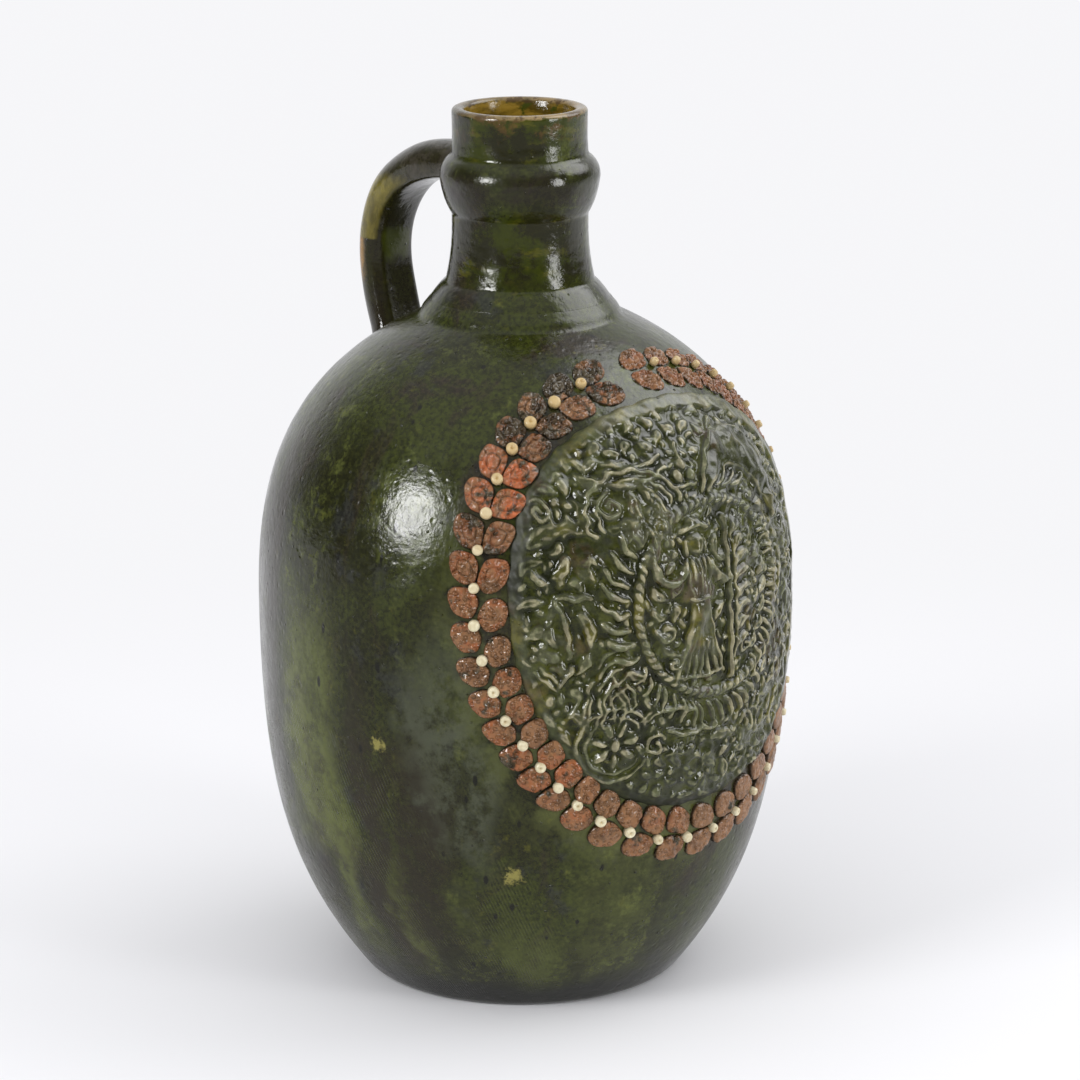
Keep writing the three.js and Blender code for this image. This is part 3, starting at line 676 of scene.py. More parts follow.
def make_neck_glaze():
    """Greener on the shaft and the lip, plum on the collar ring, with a rusty edge and an ochre throat."""
    shader = glazed_shader("green_glaze_neck")
    z = shader.axis("Z")
    height = z + (shader.noise(45, 4, 0.65) - 0.5) * 0.012
    patches = shader.noise(1.0, 4, 0.6, shader.stretched((38, 38, 60)))
    streaks = shader.noise(1.0, 5, 0.7, shader.stretched((46, 46, 130)))
    fine = shader.noise(190, 4, 0.7)
    blotches = shader.noise(62, 5, 0.7)
    both = shader.math("MAXIMUM", height.zone(*SHAFT_ZONE), height.ramp(*LIP_ZONE))
    shader.coat((0.030, 0.037, 0.002), both * patches.ramp(0.42, 0.54) * 0.9)
    shader.coat(OLIVE, both * streaks.ramp(0.52, 0.62) * 0.60)
    shader.coat((0.013, 0.012, 0.004), both * blotches.ramp(0.56, 0.42) * 0.90)
    plum = shader.mix(patches.ramp(0.48, 0.62), (0.021, 0.016, 0.013), (0.022, 0.025, 0.008))
    shader.coat(plum, height.zone(*COLLAR_ZONE) * blotches.ramp(0.36, 0.56, 1.0, 0.45))
    rusty = height.ramp(*RUSTY_ZONE) * fine.ramp(0.50, 0.66)
    shader.coat((0.120, 0.055, 0.018), rusty * 0.55)
    x, y = shader.axis("X"), shader.axis("Y")
    radius = shader.math("SQRT", x * x + y * y)
    throat = shader.mix(streaks.ramp(0.40, 0.60), OCHRE, (0.085, 0.055, 0.006))
    throat = shader.mix(fine.ramp(0.56, 0.68), throat, (0.050, 0.060, 0.006))
    shader.coat(throat, radius.ramp(*THROAT_RADII) * z.ramp(*THROAT_ZONE))
    edge = z + (fine - 0.5) * 0.004
    rim = shader.mix(patches.ramp(0.38, 0.56), (0.062, 0.052, 0.018), TAN)
    rim = shader.mix(fine.ramp(0.48, 0.60, 0.0, 0.85), rim, (0.070, 0.040, 0.014))
    shader.coat(rim, edge.ramp(*RIM_ZONE))
    rough = shader.noise(60, 5, 0.7).ramp(0.36, 0.66, 0.07, 0.20)
    return shader.finish(rough, glaze_bump(shader, 0.00012))


def make_handle_glaze():
    """Brown with a worn top, olive on the outside above the bend and rusty below it."""
    shader = glazed_shader("green_glaze_handle")
    z = shader.axis("Z")
    warp = (shader.noise(70, 4, 0.65) - 0.5) * 0.010
    height = z + warp
    outward = shader.painted("outward") + warp * 40.0
    streaks = shader.noise(1.0, 5, 0.7, shader.stretched((330, 120, 60)))
    shader.coat(BROWN, 0.65)
    worn = height.ramp(*HANDLE_TOP_ZONE) * streaks.ramp(0.40, 0.60)
    shader.coat((0.075, 0.065, 0.050), worn * 0.5)
    above_bend = z.ramp(*HANDLE_BEND) * height.ramp(0.281, 0.274)
    olive = outward.ramp(-0.60, -0.30) * above_bend * streaks.ramp(0.30, 0.62, 0.35, 1.0)
    shader.coat((0.230, 0.190, 0.036), olive * 0.90)
    below_bend = height.ramp(0.236, 0.247) * z.ramp(*HANDLE_BEND[::-1])
    outermost = outward.ramp(-0.05, 0.25) * streaks.ramp(0.34, 0.52, 0.15, 0.95)
    shader.coat((0.270, 0.150, 0.040), below_bend * outermost)
    inner = outward.ramp(-0.7, -0.9) * height.ramp(0.246, 0.250) * height.ramp(0.259, 0.255)
    shader.coat((0.070, 0.085, 0.008), inner * 0.7)
    rough = shader.noise(80, 5, 0.7).ramp(0.36, 0.66, 0.05, 0.17)
    return shader.finish(rough, glaze_bump(shader, 0.0001))


def make_relief_glaze():
    """Glaze that runs thin and pale over the ridges, with a painted highlight on the crests and a painted
    sheen on the plain border, and dark and green into the hollows.
    """
    shader = Shader("relief_glaze", (0.017, 0.020, 0.005))
    clouds = shader.noise(26, 5, 0.65)
    patches = shader.noise(70, 5, 0.7)
    fine = shader.noise(220, 4, 0.7)
    shader.coat((0.040, 0.047, 0.010), clouds.ramp(0.42, 0.56))
    # Grey patches, made stronger to the right as a painted sheen from the light on that side
    grey_and_sheen = patches.ramp(0.50, 0.60, 0.0, 0.8) * shader.axis("X").ramp(-0.05, 0.01, 0.3, 1.0)
    shader.coat((0.056, 0.057, 0.050), grey_and_sheen)
    body = shader.mix(clouds.ramp(0.44, 0.58), (0.040, 0.045, 0.016), (0.078, 0.077, 0.046))
    shader.coat(body, shader.painted("raised") * 0.60)
    golden = clouds.ramp(0.47, 0.56) * patches.ramp(0.49, 0.39)
    shader.coat((0.090, 0.082, 0.010), golden * 0.80)
    shader.coat((0.075, 0.042, 0.022), shader.noise(60, 4, 0.65).ramp(0.55, 0.66, 0.0, 0.45))
    # Thin glaze and painted highlight: pale on the crests, and a painted sheen on the plain border
    thin_glaze_and_highlight = shader.mix(patches.ramp(0.42, 0.58), (0.310, 0.282, 0.175), (0.115, 0.122, 0.060))
    shader.coat(thin_glaze_and_highlight, shader.painted("ridge").ramp(0.22, 0.85, 0.0, 0.85))
    pooled = shader.mix(patches.ramp(0.46, 0.56), (0.012, 0.014, 0.004), (0.045, 0.050, 0.006))
    shader.coat(pooled, shader.painted("pool").ramp(0.15, 0.80, 0.0, 0.9))
    shader.shade(fine.ramp(0.3, 0.7, 0.6, 1.4))
    rough = fine.ramp(0.35, 0.70, 0.06, 0.18) + shader.painted("edge") * 0.22
    return shader.finish(rough, glaze_bump(shader, 0.0001))


def make_terracotta():
    """Terracotta under a thin clear glaze that pools dark in its dents and round its rim, where painted
    shade for the gaps between the petals lies too.
    """
    shader = Shader("terracotta", (0.140, 0.074, 0.036))
    mottle = shader.noise(200, 5, 0.7)
    patches = shader.noise(125, 3, 0.6)
    cells = shader.cells(560)
    flecks = cells.ramp(0.08, 0.22)
    glazed = shader.painted("glazed")
    shader.coat((0.275, 0.140, 0.066), mottle.ramp(0.34, 0.64))
    fired = shader.mix(mottle.ramp(0.40, 0.62), (0.540, 0.140, 0.045), (0.250, 0.092, 0.036))
    shader.coat(fired, shader.painted("bright") * patches.ramp(0.40, 0.56))
    shader.coat((0.05, 0.028, 0.016), (1.0 - flecks) * 0.65)
    veil = shader.mix(mottle.ramp(0.40, 0.60), (0.018, 0.018, 0.008), (0.082, 0.071, 0.044))
    shader.coat(veil, (glazed + patches * 2.6).ramp(1.66, 1.94) * 0.94)
    # Darker round the rim and in the stamped dents: pooled glaze, and painted shade in the gaps between the
    # petals
    dark = (shader.painted("rim") + mottle * 0.5).ramp(0.62, 1.10, 0.0, 0.9)
    shader.coat((0.022, 0.016, 0.009), dark)
    wet = shader.math("MAXIMUM", shader.painted("droplets"), glazed)
    spread = cells * 1.9
    drops = shader.math("MAXIMUM", 1.0 - spread * spread, 0.0)
    normal = shader.bump(flecks, 0.00012, 0.7, shader.bump(mottle, 0.00022))
    return shader.finish(wet.ramp(0.0, 0.7, 0.32, 0.06), shader.bump(drops * wet, 0.0012, 1.0, normal))


def make_cream_slip():
    shader = Shader("cream_slip", (0.72, 0.66, 0.46))
    mottle = shader.noise(420, 4, 0.6)
    shader.coat((0.56, 0.48, 0.30), mottle.ramp(0.35, 0.65))
    shader.coat((0.46, 0.30, 0.10), shader.painted("stain"))
    return shader.finish(mottle.ramp(0.3, 0.7, 0.22, 0.38), shader.bump(mottle, 0.00012))


# Belly and neck


def thrown_unevenness(rows):
    """Throwing rings, which are strongest on the shoulder, and a slow wander of the wall, in mm."""
    height = rows[:, :, 2]
    rings = np.sin(height * 2 * np.pi / THROWING_RING_PITCH + 1.6 * ripples(rows, 160, 3))
    fine = np.sin(height * 2 * np.pi / FINE_RING_PITCH + 2.4 * ripples(rows, 90, 4))
    strength = 0.35 + 0.65 * smoothstep(175, 205, height)
    fade = smoothstep(0, 8, height) * smoothstep(NECK_SEAM_HEIGHT, 236, height)
    rise = strength * (THROWING_RING_RISE * rings + FINE_RING_RISE * fine)
    return fade * (rise + WALL_WANDER * ripples(rows, 120, 5))


def paint_halo(belly):
    """Where paler glaze lies beside the wreath, at the lower left."""
    points = np.empty(len(belly.data.vertices) * 3)
    belly.data.vertices.foreach_get("co", points)
    x, y, z = points.reshape(-1, 3).T / MM
    v = np.interp(z, OUTLINE[:, 1], WALKED) - ROUNDEL_WALK
    u = np.arctan2(x, -y) * np.hypot(x, y)
    beside = np.exp(-(((np.hypot(u, v) - WREATH_RADIUS) / HALO_WIDTH) ** 2))
    lower_left = smoothstep(0.25, 0.90, np.cos(np.arctan2(v, u) - radians(HALO_ANGLE)))
    paint(belly, "halo", beside * lower_left)


def make_belly(material):
    """The thrown wall with its flat base, hollow, up to the seam under the neck."""
    inside = OUTLINE + BELLY_WALL * np.stack([-ALONG[:, 1], ALONG[:, 0]], axis=1)
    above_floor = inside[:, 1] > BASE_THICKNESS + BELLY_WALL
    below_throat = inside[:, 0] > NECK_BORE_RADIUS + BELLY_WALL
    wall = inside[above_floor & below_throat][::-1]
    floor = [[FOOT_RADIUS - BELLY_WALL / 2, BASE_THICKNESS], [0, BASE_THICKNESS]]
    outside = np.concatenate(
        [
            [[0, 0], [FOOT_RADIUS - FOOT_EDGE, 0], [FOOT_RADIUS, 0.5]],
            OUTLINE[OUTLINE[:, 1] > FOOT_EDGE],
            SHOULDER_STEPS,
            [[NECK_SEAM_RADIUS - 0.6, NECK_SEAM_HEIGHT + 0.4]],
        ]
    )
    outside = rounded(resampled(outside, 0.55), 2)
    throat = [[NECK_BORE_RADIUS, NECK_SEAM_HEIGHT], [NECK_BORE_RADIUS, NECK_SEAM_HEIGHT - BELLY_WALL]]
    inner = resampled(np.concatenate([throat, wall, floor]), 3.0)
    profile = np.concatenate([outside, inner])
    rows = turned(profile[1:-1], BELLY_SEGMENTS)
    outward = turned(np.array([[1.0, 0.0]]), BELLY_SEGMENTS)
    rows += outward * thrown_unevenness(rows)[:, :, None]
    belly = skinned("belly_clay", rows, [[0, 0, profile[0, 1]], [0, 0, profile[-1, 1]]], material)
    paint_halo(belly)
    return belly


def make_neck(material):
    """The collar from the seam to the lip, round its open bore."""
    outside = rounded(resampled(neck_outline(), 0.4), 2)
    base = NECK_SEAM_HEIGHT - NECK_TUCK
    bore_top = NECK_SEAM_HEIGHT + 60.0
    bore = resampled(np.array([[NECK_BORE_RADIUS, bore_top], [NECK_BORE_RADIUS, base]]), 1.5)
    loop = np.concatenate([outside, bore, [[NECK_SEAM_RADIUS - 0.7, base]]])
    rows = turned(loop, NECK_SEGMENTS)
    above_seam = smoothstep(NECK_SEAM_HEIGHT, NECK_SEAM_HEIGHT + 10, rows[:, :, 2])
    wander = 0.004 * ripples(rows, 60, 8) + 0.0004 * np.sin(rows[:, :, 2] * 1.7 + ripples(rows, 50, 9))
    rows[:, :, :2] *= 1 + (wander * above_seam)[:, :, None]
    index = ring_numbers(rows)
    quads = ring_quads(np.concatenate([index, index[:1]]))
    return new_piece("neck_clay", rows.reshape(-1, 3), quads.tolist(), material)


# Handle


def handle_line():
    """Centre line in the plane of the handle, as (distance from the axis, height)."""
    top = NECK_SEAM_HEIGHT + COLLAR_RING_RISE + HANDLE_TOP_RISE
    outer = top - HANDLE_OUTER_DROP
    start = (NECK_BORE_RADIUS + COLLAR_RING_RADIUS) / 2
    foot_radius = float(np.interp(HANDLE_FOOT_HEIGHT, OUTLINE[:, 1], OUTLINE[:, 0])) - HANDLE_FOOT_DEPTH
    over = bezier(
        [
            [start, top],
            [start + HANDLE_TOP_RUN, top + 1],
            [HANDLE_REACH, outer + HANDLE_OUTER_RISE_LENGTH],
            [HANDLE_REACH, outer],
        ],
        80,
    )
    down = bezier(
        [
            [HANDLE_REACH, outer],
            [HANDLE_REACH, outer - HANDLE_OUTER_FALL_LENGTH],
            [foot_radius + HANDLE_FOOT_LEAN, HANDLE_FOOT_HEIGHT + HANDLE_FOOT_LEAN_HEIGHT],
            [foot_radius, HANDLE_FOOT_HEIGHT],
        ],
        80,
    )
    return np.concatenate([over, down[1:]])


def make_handle(material):
    """The strap with its groove. Its foot lies on the belly's wall."""
    line = handle_line()
    line = resampled(line, walk(line)[-1] / HANDLE_STEPS)
    along = np.gradient(line, axis=0)
    along /= np.linalg.norm(along, axis=1)[:, None]
    outward = np.stack([-along[:, 1], along[:, 0]], axis=1)
    t = np.linspace(0, 1, len(line))
    scale = 1 - HANDLE_NECK_TAPER * np.clip(1 - 3 * t, 0, 1) + HANDLE_FOOT_FLARE * np.clip(6 * t - 5, 0, 1)
    angle = np.arange(HANDLE_SIDES) * 2 * np.pi / HANDLE_SIDES
    rise = np.sin(angle)
    flattened = HANDLE_INNER_SWELL * np.tanh(1.9 * rise)
    out = 0.5 * HANDLE_THICKNESS * np.where(rise > 0, HANDLE_OUTER_SWELL * rise, flattened)
    across = -0.5 * HANDLE_WIDTH * np.cos(angle)
    rows = np.zeros((len(line), HANDLE_SIDES, 3))
    rows[:, :, 0] = scale[:, None] * across
    rows[:, :, 1:] = line[:, None, :] + scale[:, None, None] * out[None, :, None] * outward[:, None, :]
    centre = np.zeros_like(rows)
    centre[:, :, 1:] = line[:, None, :]
    away = (angle - radians(HANDLE_GROOVE_ANGLE) + np.pi) % (2 * np.pi) - np.pi
    groove = np.exp(-((away / radians(HANDLE_GROOVE_WIDTH)) ** 2)) * smoothstep(0.34, 0.48, t)[:, None]
    swell = HANDLE_UNEVENNESS * ripples(rows, 26, 11) - HANDLE_GROOVE_DEPTH * groove
    rows = centre + (rows - centre) * (1 + swell[:, :, None])
    radius = np.hypot(rows[:, :, 0], rows[:, :, 1])
    seat = np.interp(rows[:, :, 2], OUTLINE[:, 1], OUTLINE[:, 0], right=0) - 1.2
    buried = (radius < seat) & (t[:, None] > 0.6)
    push = np.where(buried, seat / np.maximum(radius, 1), 1.0)
    rows[:, :, :2] *= push[:, :, None]
    tips = [rows[0].mean(axis=0), rows[-1].mean(axis=0)]
    piece = skinned("handle_strap", rows, tips, material)
    paint(piece, "outward", np.concatenate([np.tile(rise, len(line)), [0, 0]]))
    return piece


# Relief of the roundel


def bowed(x0, y0, x1, y1, bow=0.0):
    """A curve between two places that bows to its left by a share of its length."""
    start, end = np.array([x0, y0]), np.array([x1, y1])
    chord = end - start
    middle = (start + end) / 2 + 2 * bow * np.array([-chord[1], chord[0]])
    return bezier([start, middle, end], 14)


def polar(angle, radius):
    return radius * math.cos(radians(angle)), radius * math.sin(radians(angle))


def arc(x, y, radius, angle, wide=1.0, high=1.0):
    """Points round a centre, at angles in radians. The circle may be an oval, and the radius may vary."""
    return np.stack([x + wide * radius * np.cos(angle), y + high * radius * np.sin(angle)], axis=1)


class Relief:
    """Height of the pressed clay over the roundel's field, in mm, about the rope ring's centre."""

    def __init__(self):
        half = ROUNDEL_RADIUS + ROUNDEL_SPILL + 1
        self.axis = np.arange(-half, half + RELIEF_CELL / 2, RELIEF_CELL)
        self.x, self.y = np.meshgrid(self.axis - ROPE_RING_OFFSET, self.axis)
        self.height = np.zeros_like(self.x)

    def window(self, xs, ys, margin):
        """The cells near some places, which are given about the rope ring's centre."""
        low_x = np.searchsorted(self.x[0], min(xs) - margin)
        high_x = np.searchsorted(self.x[0], max(xs) + margin)
        low_y = np.searchsorted(self.axis, min(ys) - margin)
        high_y = np.searchsorted(self.axis, max(ys) + margin)
        return slice(low_y, high_y), slice(low_x, high_x)

    def put(self, window, height):
        self.height[window] = np.maximum(self.height[window], height)

    def along(self, curve, margin):
        """The window round a curve, each cell's distance from it and its share of the way along."""
        window = self.window(curve[:, 0], curve[:, 1], margin)
        x, y = self.x[window], self.y[window]
        distance = np.full(x.shape, 1e9)
        share = np.zeros(x.shape)
        for i, (a, b) in enumerate(zip(curve, curve[1:])):
            step = b - a
            size = step @ step
            t = np.clip(((x - a[0]) * step[0] + (y - a[1]) * step[1]) / size, 0, 1)
            off = np.hypot(x - a[0] - t * step[0], y - a[1] - t * step[1])
            near = off < distance
            distance = np.where(near, off, distance)
            share = np.where(near, (i + t) / (len(curve) - 1), share)
        return window, distance, share

    def stroke(self, curve, width, height, taper=0.7):
        """A half-round ridge. Its ends narrow by the taper."""
        window, distance, share = self.along(curve, width)
        half = 0.5 * width * (1 - taper * np.abs(2 * share - 1) ** 2.2)
        self.put(window, height * np.sqrt(np.clip(1 - (distance / half) ** 2, 0, 1)))

    def leaf(self, curve, width, height, veins=5.0):
        """A pointed leaf with a midrib and side veins."""
        window, distance, share = self.along(curve, width)
        half = 0.5 * width * np.sin(np.pi * share**0.75) ** 0.85 + 0.05
        across = np.clip(distance / half, 0, 1)
        body = np.sqrt(np.clip(1 - across**2, 0, 1))
        rib = 1 - 0.45 * np.exp(-((distance / 0.42) ** 2))
        vein = 1 - 0.22 * (0.5 + 0.5 * np.cos(2 * np.pi * (veins * share - 0.8 * across)))
        self.put(window, height * body * rib * vein)

    def dome(self, x, y, length, width, height, turn=0.0):
        """An oval boss."""
        window = self.window([x], [y], max(length, width) / 2)
        dx, dy = self.x[window] - x, self.y[window] - y
        c, s = math.cos(radians(turn)), math.sin(radians(turn))
        a = (dx * c + dy * s) / (length / 2)
        b = (dy * c - dx * s) / (width / 2)
        self.put(window, height * np.sqrt(np.clip(1 - a**2 - b**2, 0, 1)))

    def curl(self, x, y, radius, turn, sweep, width, height):
        """A scroll that winds in to its eye."""
        share = np.linspace(0, 1, 26)
        angle = radians(turn) + radians(sweep) * share
        curve = arc(x, y, radius * (1 - 0.8 * share), angle)
        self.stroke(curve, width, height, 0.35)
        self.dome(curve[-1, 0], curve[-1, 1], 1.5 * width, 1.5 * width, height)

    def rosette(self, x, y, radius, petals, height, turn=0.0):
        """A small flower with a round eye."""
        for i in range(petals):
            angle = turn + 360 * i / petals
            dx, dy = polar(angle, 0.62 * radius)
            self.dome(x + dx, y + dy, 0.78 * radius, 1.9 * radius / petals + 0.8, height, angle)
        self.dome(x, y, 0.5 * radius, 0.5 * radius, 1.15 * height)

    def barbs(self, spine, length, width, height, count, lean, bow):
        """Feather barbs left of a spine, or right of it for a length below 0, leaning by an angle."""
        picks = np.linspace(0, len(spine) - 1, count).round().astype(int)
        steps = np.gradient(spine, axis=0)
        for k, i in enumerate(picks):
            heading = math.atan2(steps[i, 1], steps[i, 0]) + radians(90 + lean)
            reach = length * (0.72 + 0.28 * math.sin(math.pi * (k + 0.5) / count))
            x, y = spine[i]
            end_x, end_y = x + reach * math.cos(heading), y + reach * math.sin(heading)
            self.stroke(bowed(x, y, end_x, end_y, bow), width, height, 0.55)

    def spray(self, curve, leaves, length, width, height):
        """A stem with leaves in pairs."""
        self.stroke(curve, 1.1, 0.8 * height, 0.3)
        picks = np.linspace(1, len(curve) - 2, leaves).round().astype(int)
        steps = np.gradient(curve, axis=0)
        for i in picks:
            heading = math.degrees(math.atan2(steps[i, 1], steps[i, 0]))
            for hand in (1, -1):
                dx, dy = polar(heading + hand * SPRAY_SPLAY, length)
                x, y = curve[i]
                self.leaf(bowed(x, y, x + dx, y + dy, -0.14 * hand), width, height, 3)

    def fill(self, rng, tries, lengths):
        """Small leaves and buds in the places that are still bare."""
        for _ in range(tries):
            angle, radius = rng.uniform(0, 360), FILL_RADIUS * math.sqrt(rng.uniform())
            x, y = polar(angle, radius)
            length = rng.uniform(*lengths)
            x -= ROPE_RING_OFFSET
            window = self.window([x], [y], 0.45 * length)
            if not outside_bare_fields(x, y) or self.height[window].max(initial=0) > 0.25:
                continue
            turn = angle + 90 + rng.normal(0, 38)
            dx, dy = polar(turn, 0.62 * length)
            if rng.uniform() < 0.72:
                line = bowed(x - dx, y - dy, x + dx, y + dy, rng.uniform(-0.25, 0.25))
                self.leaf(line, 0.62 * length, rng.uniform(1.0, 1.7), 3)
            else:
                self.dome(x, y, 0.8 * length, 0.6 * length, rng.uniform(0.8, 1.5), turn)

    def softened(self, spread):
        """The heights after a thick glaze has flowed over them."""
        reach = int(math.ceil(3 * spread / RELIEF_CELL))
        taps = np.exp(-0.5 * (np.arange(-reach, reach + 1) * RELIEF_CELL / spread) ** 2)
        taps /= taps.sum()
        soft = self.height
        for axis in (0, 1):
            soft = sum(tap * np.roll(soft, i - reach, axis) for i, tap in enumerate(taps))
        return soft

    def sample(self, field, u, v):
        """A field of the raster at places of the chart."""
        column = np.clip((u - self.axis[0]) / RELIEF_CELL, 0, len(self.axis) - 1.001)
        row = np.clip((v - self.axis[0]) / RELIEF_CELL, 0, len(self.axis) - 1.001)
        i, j = row.astype(int), column.astype(int)
        a, b = row - i, column - j
        top = field[i, j] * (1 - b) + field[i, j + 1] * b
        return top * (1 - a) + (field[i + 1, j] * (1 - b) + field[i + 1, j + 1] * b) * a


def draw_rope_ring(relief):
    radius = np.hypot(relief.x, relief.y)
    off = (radius - ROPE_RING_RADIUS) / (ROPE_RING_WIDTH / 2)
    angle = np.arctan2(relief.y, relief.x)
    notch = np.abs(np.sin(0.5 * (ROPE_NOTCHES * angle + 2.2 * off)))
    ring = ROPE_RING_RELIEF * np.sqrt(np.clip(1 - off**2, 0, 1)) * (0.35 + 0.65 * notch**0.7)
    np.maximum(relief.height, ring, out=relief.height)


def draw_figure(relief):
    """A robed figure with a brimmed hat, a staff and a raised sprig. The face is plain and calm."""
    relief.dome(-8.6, 5.5, 15.5, 19, 1.3)
    for i in range(7):
        share = i / 6 - 0.5
        fold = bowed(-8.6 + 6 * share, 1.5, -9.0 + 21 * share, -25.5, -0.10 * share)
        relief.stroke(fold, 2.7, 1.75, 0.25)
    for i in range(5):
        share = i / 4 - 0.5
        relief.stroke(bowed(-8.6 + 9 * share, 14, -8.6 + 6 * share, 2.5, 0.12 * share), 2.2, 1.9, 0.3)
    relief.stroke(bowed(-12.8, 1.6, -4.4, 1.6, -0.08), 1.9, 2.3, 0.2)
    relief.stroke(bowed(-18.5, -24.6, 0.8, -24.6, -0.05), 2.0, 1.9, 0.2)
    relief.dome(-12.2, -27.4, 4.2, 2.6, 1.7, 15)
    relief.dome(-5.4, -27.4, 4.2, 2.6, 1.7, -15)
    relief.dome(-8.6, 20.0, 7.6, 9.6, 1.7)
    relief.stroke(bowed(-11.0, 21.2, -6.2, 21.2, 0.08), 0.9, 2.2, 0.3)
    relief.stroke(bowed(-8.6, 21.0, -8.6, 19.0), 0.9, 2.4, 0.2)
    relief.dome(-10.1, 20.2, 1.3, 0.9, 2.05)
    relief.dome(-7.1, 20.2, 1.3, 0.9, 2.05)
    relief.stroke(bowed(-9.7, 17.6, -7.5, 17.6, -0.12), 0.8, 2.15, 0.4)
    for side in (-1, 1):
        relief.stroke(bowed(-8.6 + 3.7 * side, 21.5, -8.6 + 4.0 * side, 16.4, 0.10 * side), 1.5, 1.6, 0.4)
    relief.stroke(bowed(-14.6, 24.4, -2.8, 24.4, 0.10), 1.9, 2.3, 0.25)
    relief.dome(-8.7, 26.6, 8.4, 5.4, 1.9)
    arm = np.concatenate([bowed(-14, 12.4, -20.5, 7.6, 0.12), bowed(-20.5, 7.6, -26.2, 16.5, 0.16)[1:]])
    relief.stroke(arm, 3.7, 2.1, 0.2)
    for i in range(3):
        cuff = bowed(-16.5 - 2 * i, 9.5 - 1.4 * i, -17.5 - 1.2 * i, 4.5 - 0.6 * i, 0.2)
        relief.stroke(cuff, 1.5, 1.6, 0.5)
    relief.dome(-26.4, 17.6, 3.0, 3.0, 2.1)
    relief.leaf(bowed(-27, 16, -23, 24.5, -0.12), 4.4, 1.8)
    relief.stroke(bowed(-2.8, 12.6, 2.2, 5.8, -0.16), 3.6, 2.1, 0.2)
    relief.dome(4.8, 6.4, 3.4, 3.4, 2.3)
    relief.stroke(bowed(5.2, 24.4, 5.2, -28.6), 2.0, 2.1, 0.1)
    relief.dome(5.2, 25.6, 3.0, 3.0, 2.0)


def draw_ring_foliage(relief):
    """Leaves that fill the ring on both sides of the figure."""
    for i in range(8):
        y = 21 - 5.6 * i
        reach = 6.6 + 3.4 * math.sin(math.pi * (i + 1) / 9)
        relief.leaf(bowed(8.6, y - 1.5, 8.6 + reach, y + 1.6, 0.22), 3.2, 1.7, 3)
    relief.stroke(bowed(8.4, 21, 8.4, -23, 0.02), 1.1, 1.3, 0.3)
    for i in range(7):
        angle = 44 - 15 * i
        x, y = polar(angle, 25.5)
        relief.leaf(bowed(x - 3.0, y - 2.6, x + 1.8, y + 2.4, -0.2), 3.6, 1.6, 3)
    for i in range(5):
        angle = 168 + 15 * i
        x, y = polar(angle, 26.6)
        relief.leaf(bowed(x + 3.6, y - 1.8, x - 1.6, y + 2.2, 0.2), 3.4, 1.6, 3)
    relief.curl(-22.5, -8.5, 3.6, 200, 420, 1.3, 1.5)
    relief.curl(-19.5, -19.5, 3.2, 120, -400, 1.2, 1.5)
    relief.curl(14.5, -20, 3.4, 60, 400, 1.2, 1.4)
    relief.rosette(-19, 23.5, 3.6, 6, 1.4)
    relief.rosette(13.8, 24.2, 3.4, 6, 1.4)


def draw_upper_left(relief):
    """The scalloped blossom over the ring's shoulder, and the sprays behind it."""
    relief.dome(-28.5, 33.5, 33, 26, 0.7, 20)
    for radius, height in ((15.8, 1.9), (12.6, 1.5)):
        share = np.linspace(0, 1, 40)
        angle = radians(12) + radians(190) * share
        lobes = radius * (1 + 0.045 * np.abs(np.sin(9 * np.pi * share)))
        relief.stroke(arc(-28.5, 32.0, lobes, angle, 1.12, 0.92), 2.0, height, 0.3)
    for i in range(6):
        angle = 200 + 30 * i
        dx, dy = polar(angle, 10.5)
        relief.leaf(bowed(-28.5 + 0.15 * dx, 32 + 0.15 * dy, -28.5 + 1.25 * dx, 32 + dy, 0.12), 5.4, 1.9, 4)
    relief.leaf(bowed(-26, 41, -19.5, 29, 0.14), 5.6, 2.2, 4)
    relief.leaf(bowed(-29, 40, -28, 28, -0.08), 4.6, 2.0, 4)
    relief.curl(-37.5, 35.5, 5.0, 80, 430, 1.7, 1.9)
    relief.dome(-31, 29, 5.2, 5.2, 2.3)
    relief.stroke(bowed(-44, 46.5, -13, 47, -0.16), 2.2, 1.6, 0.5)
    relief.stroke(bowed(-36, 50.5, -14, 51, -0.12), 1.6, 1.3, 0.5)
    relief.spray(bowed(-55, 27, -42, 50, -0.12), 5, 6.4, 3.0, 1.5)


def draw_upper_right(relief):
    """The smooth wing-shaped leaf, with the trefoil before it and ribs at its root."""
    curve = bezier([[2, 36], [14, 60], [36, 46], [39, 20]], 30)
    window, distance, share = relief.along(curve, 9)
    half = 8.2 * np.sin(np.pi * np.clip(share, 0.02, 0.98)) ** 0.6
    across = np.clip(distance / half, 0, 1)
    rim = np.exp(-(((across - 0.86) / 0.09) ** 2))
    relief.put(window, 1.5 * np.sqrt(np.clip(1 - across**2, 0, 1)) + 0.5 * rim)
    relief.stroke(bezier([[-1, 36], [4, 50], [12, 55]], 16), 1.9, 2.3, 0.4)
    for i in range(4):
        relief.stroke(bowed(3 + 3.4 * i, 37.5 - 0.7 * i, 9 + 4.4 * i, 44.5 - 2.4 * i, -0.12), 1.3, 1.7, 0.5)
    for x, y in ((-9.6, 42.2), (-4.4, 42.6), (-7.0, 46.6)):
        relief.dome(x, y, 4.6, 4.6, 1.9)
    relief.stroke(bowed(-11.5, 39.4, -2.5, 39.6, -0.06), 1.7, 1.7, 0.4)
    relief.stroke(bowed(-7, 48.4, -6.4, 53.6, 0.05), 1.5, 1.6, 0.4)


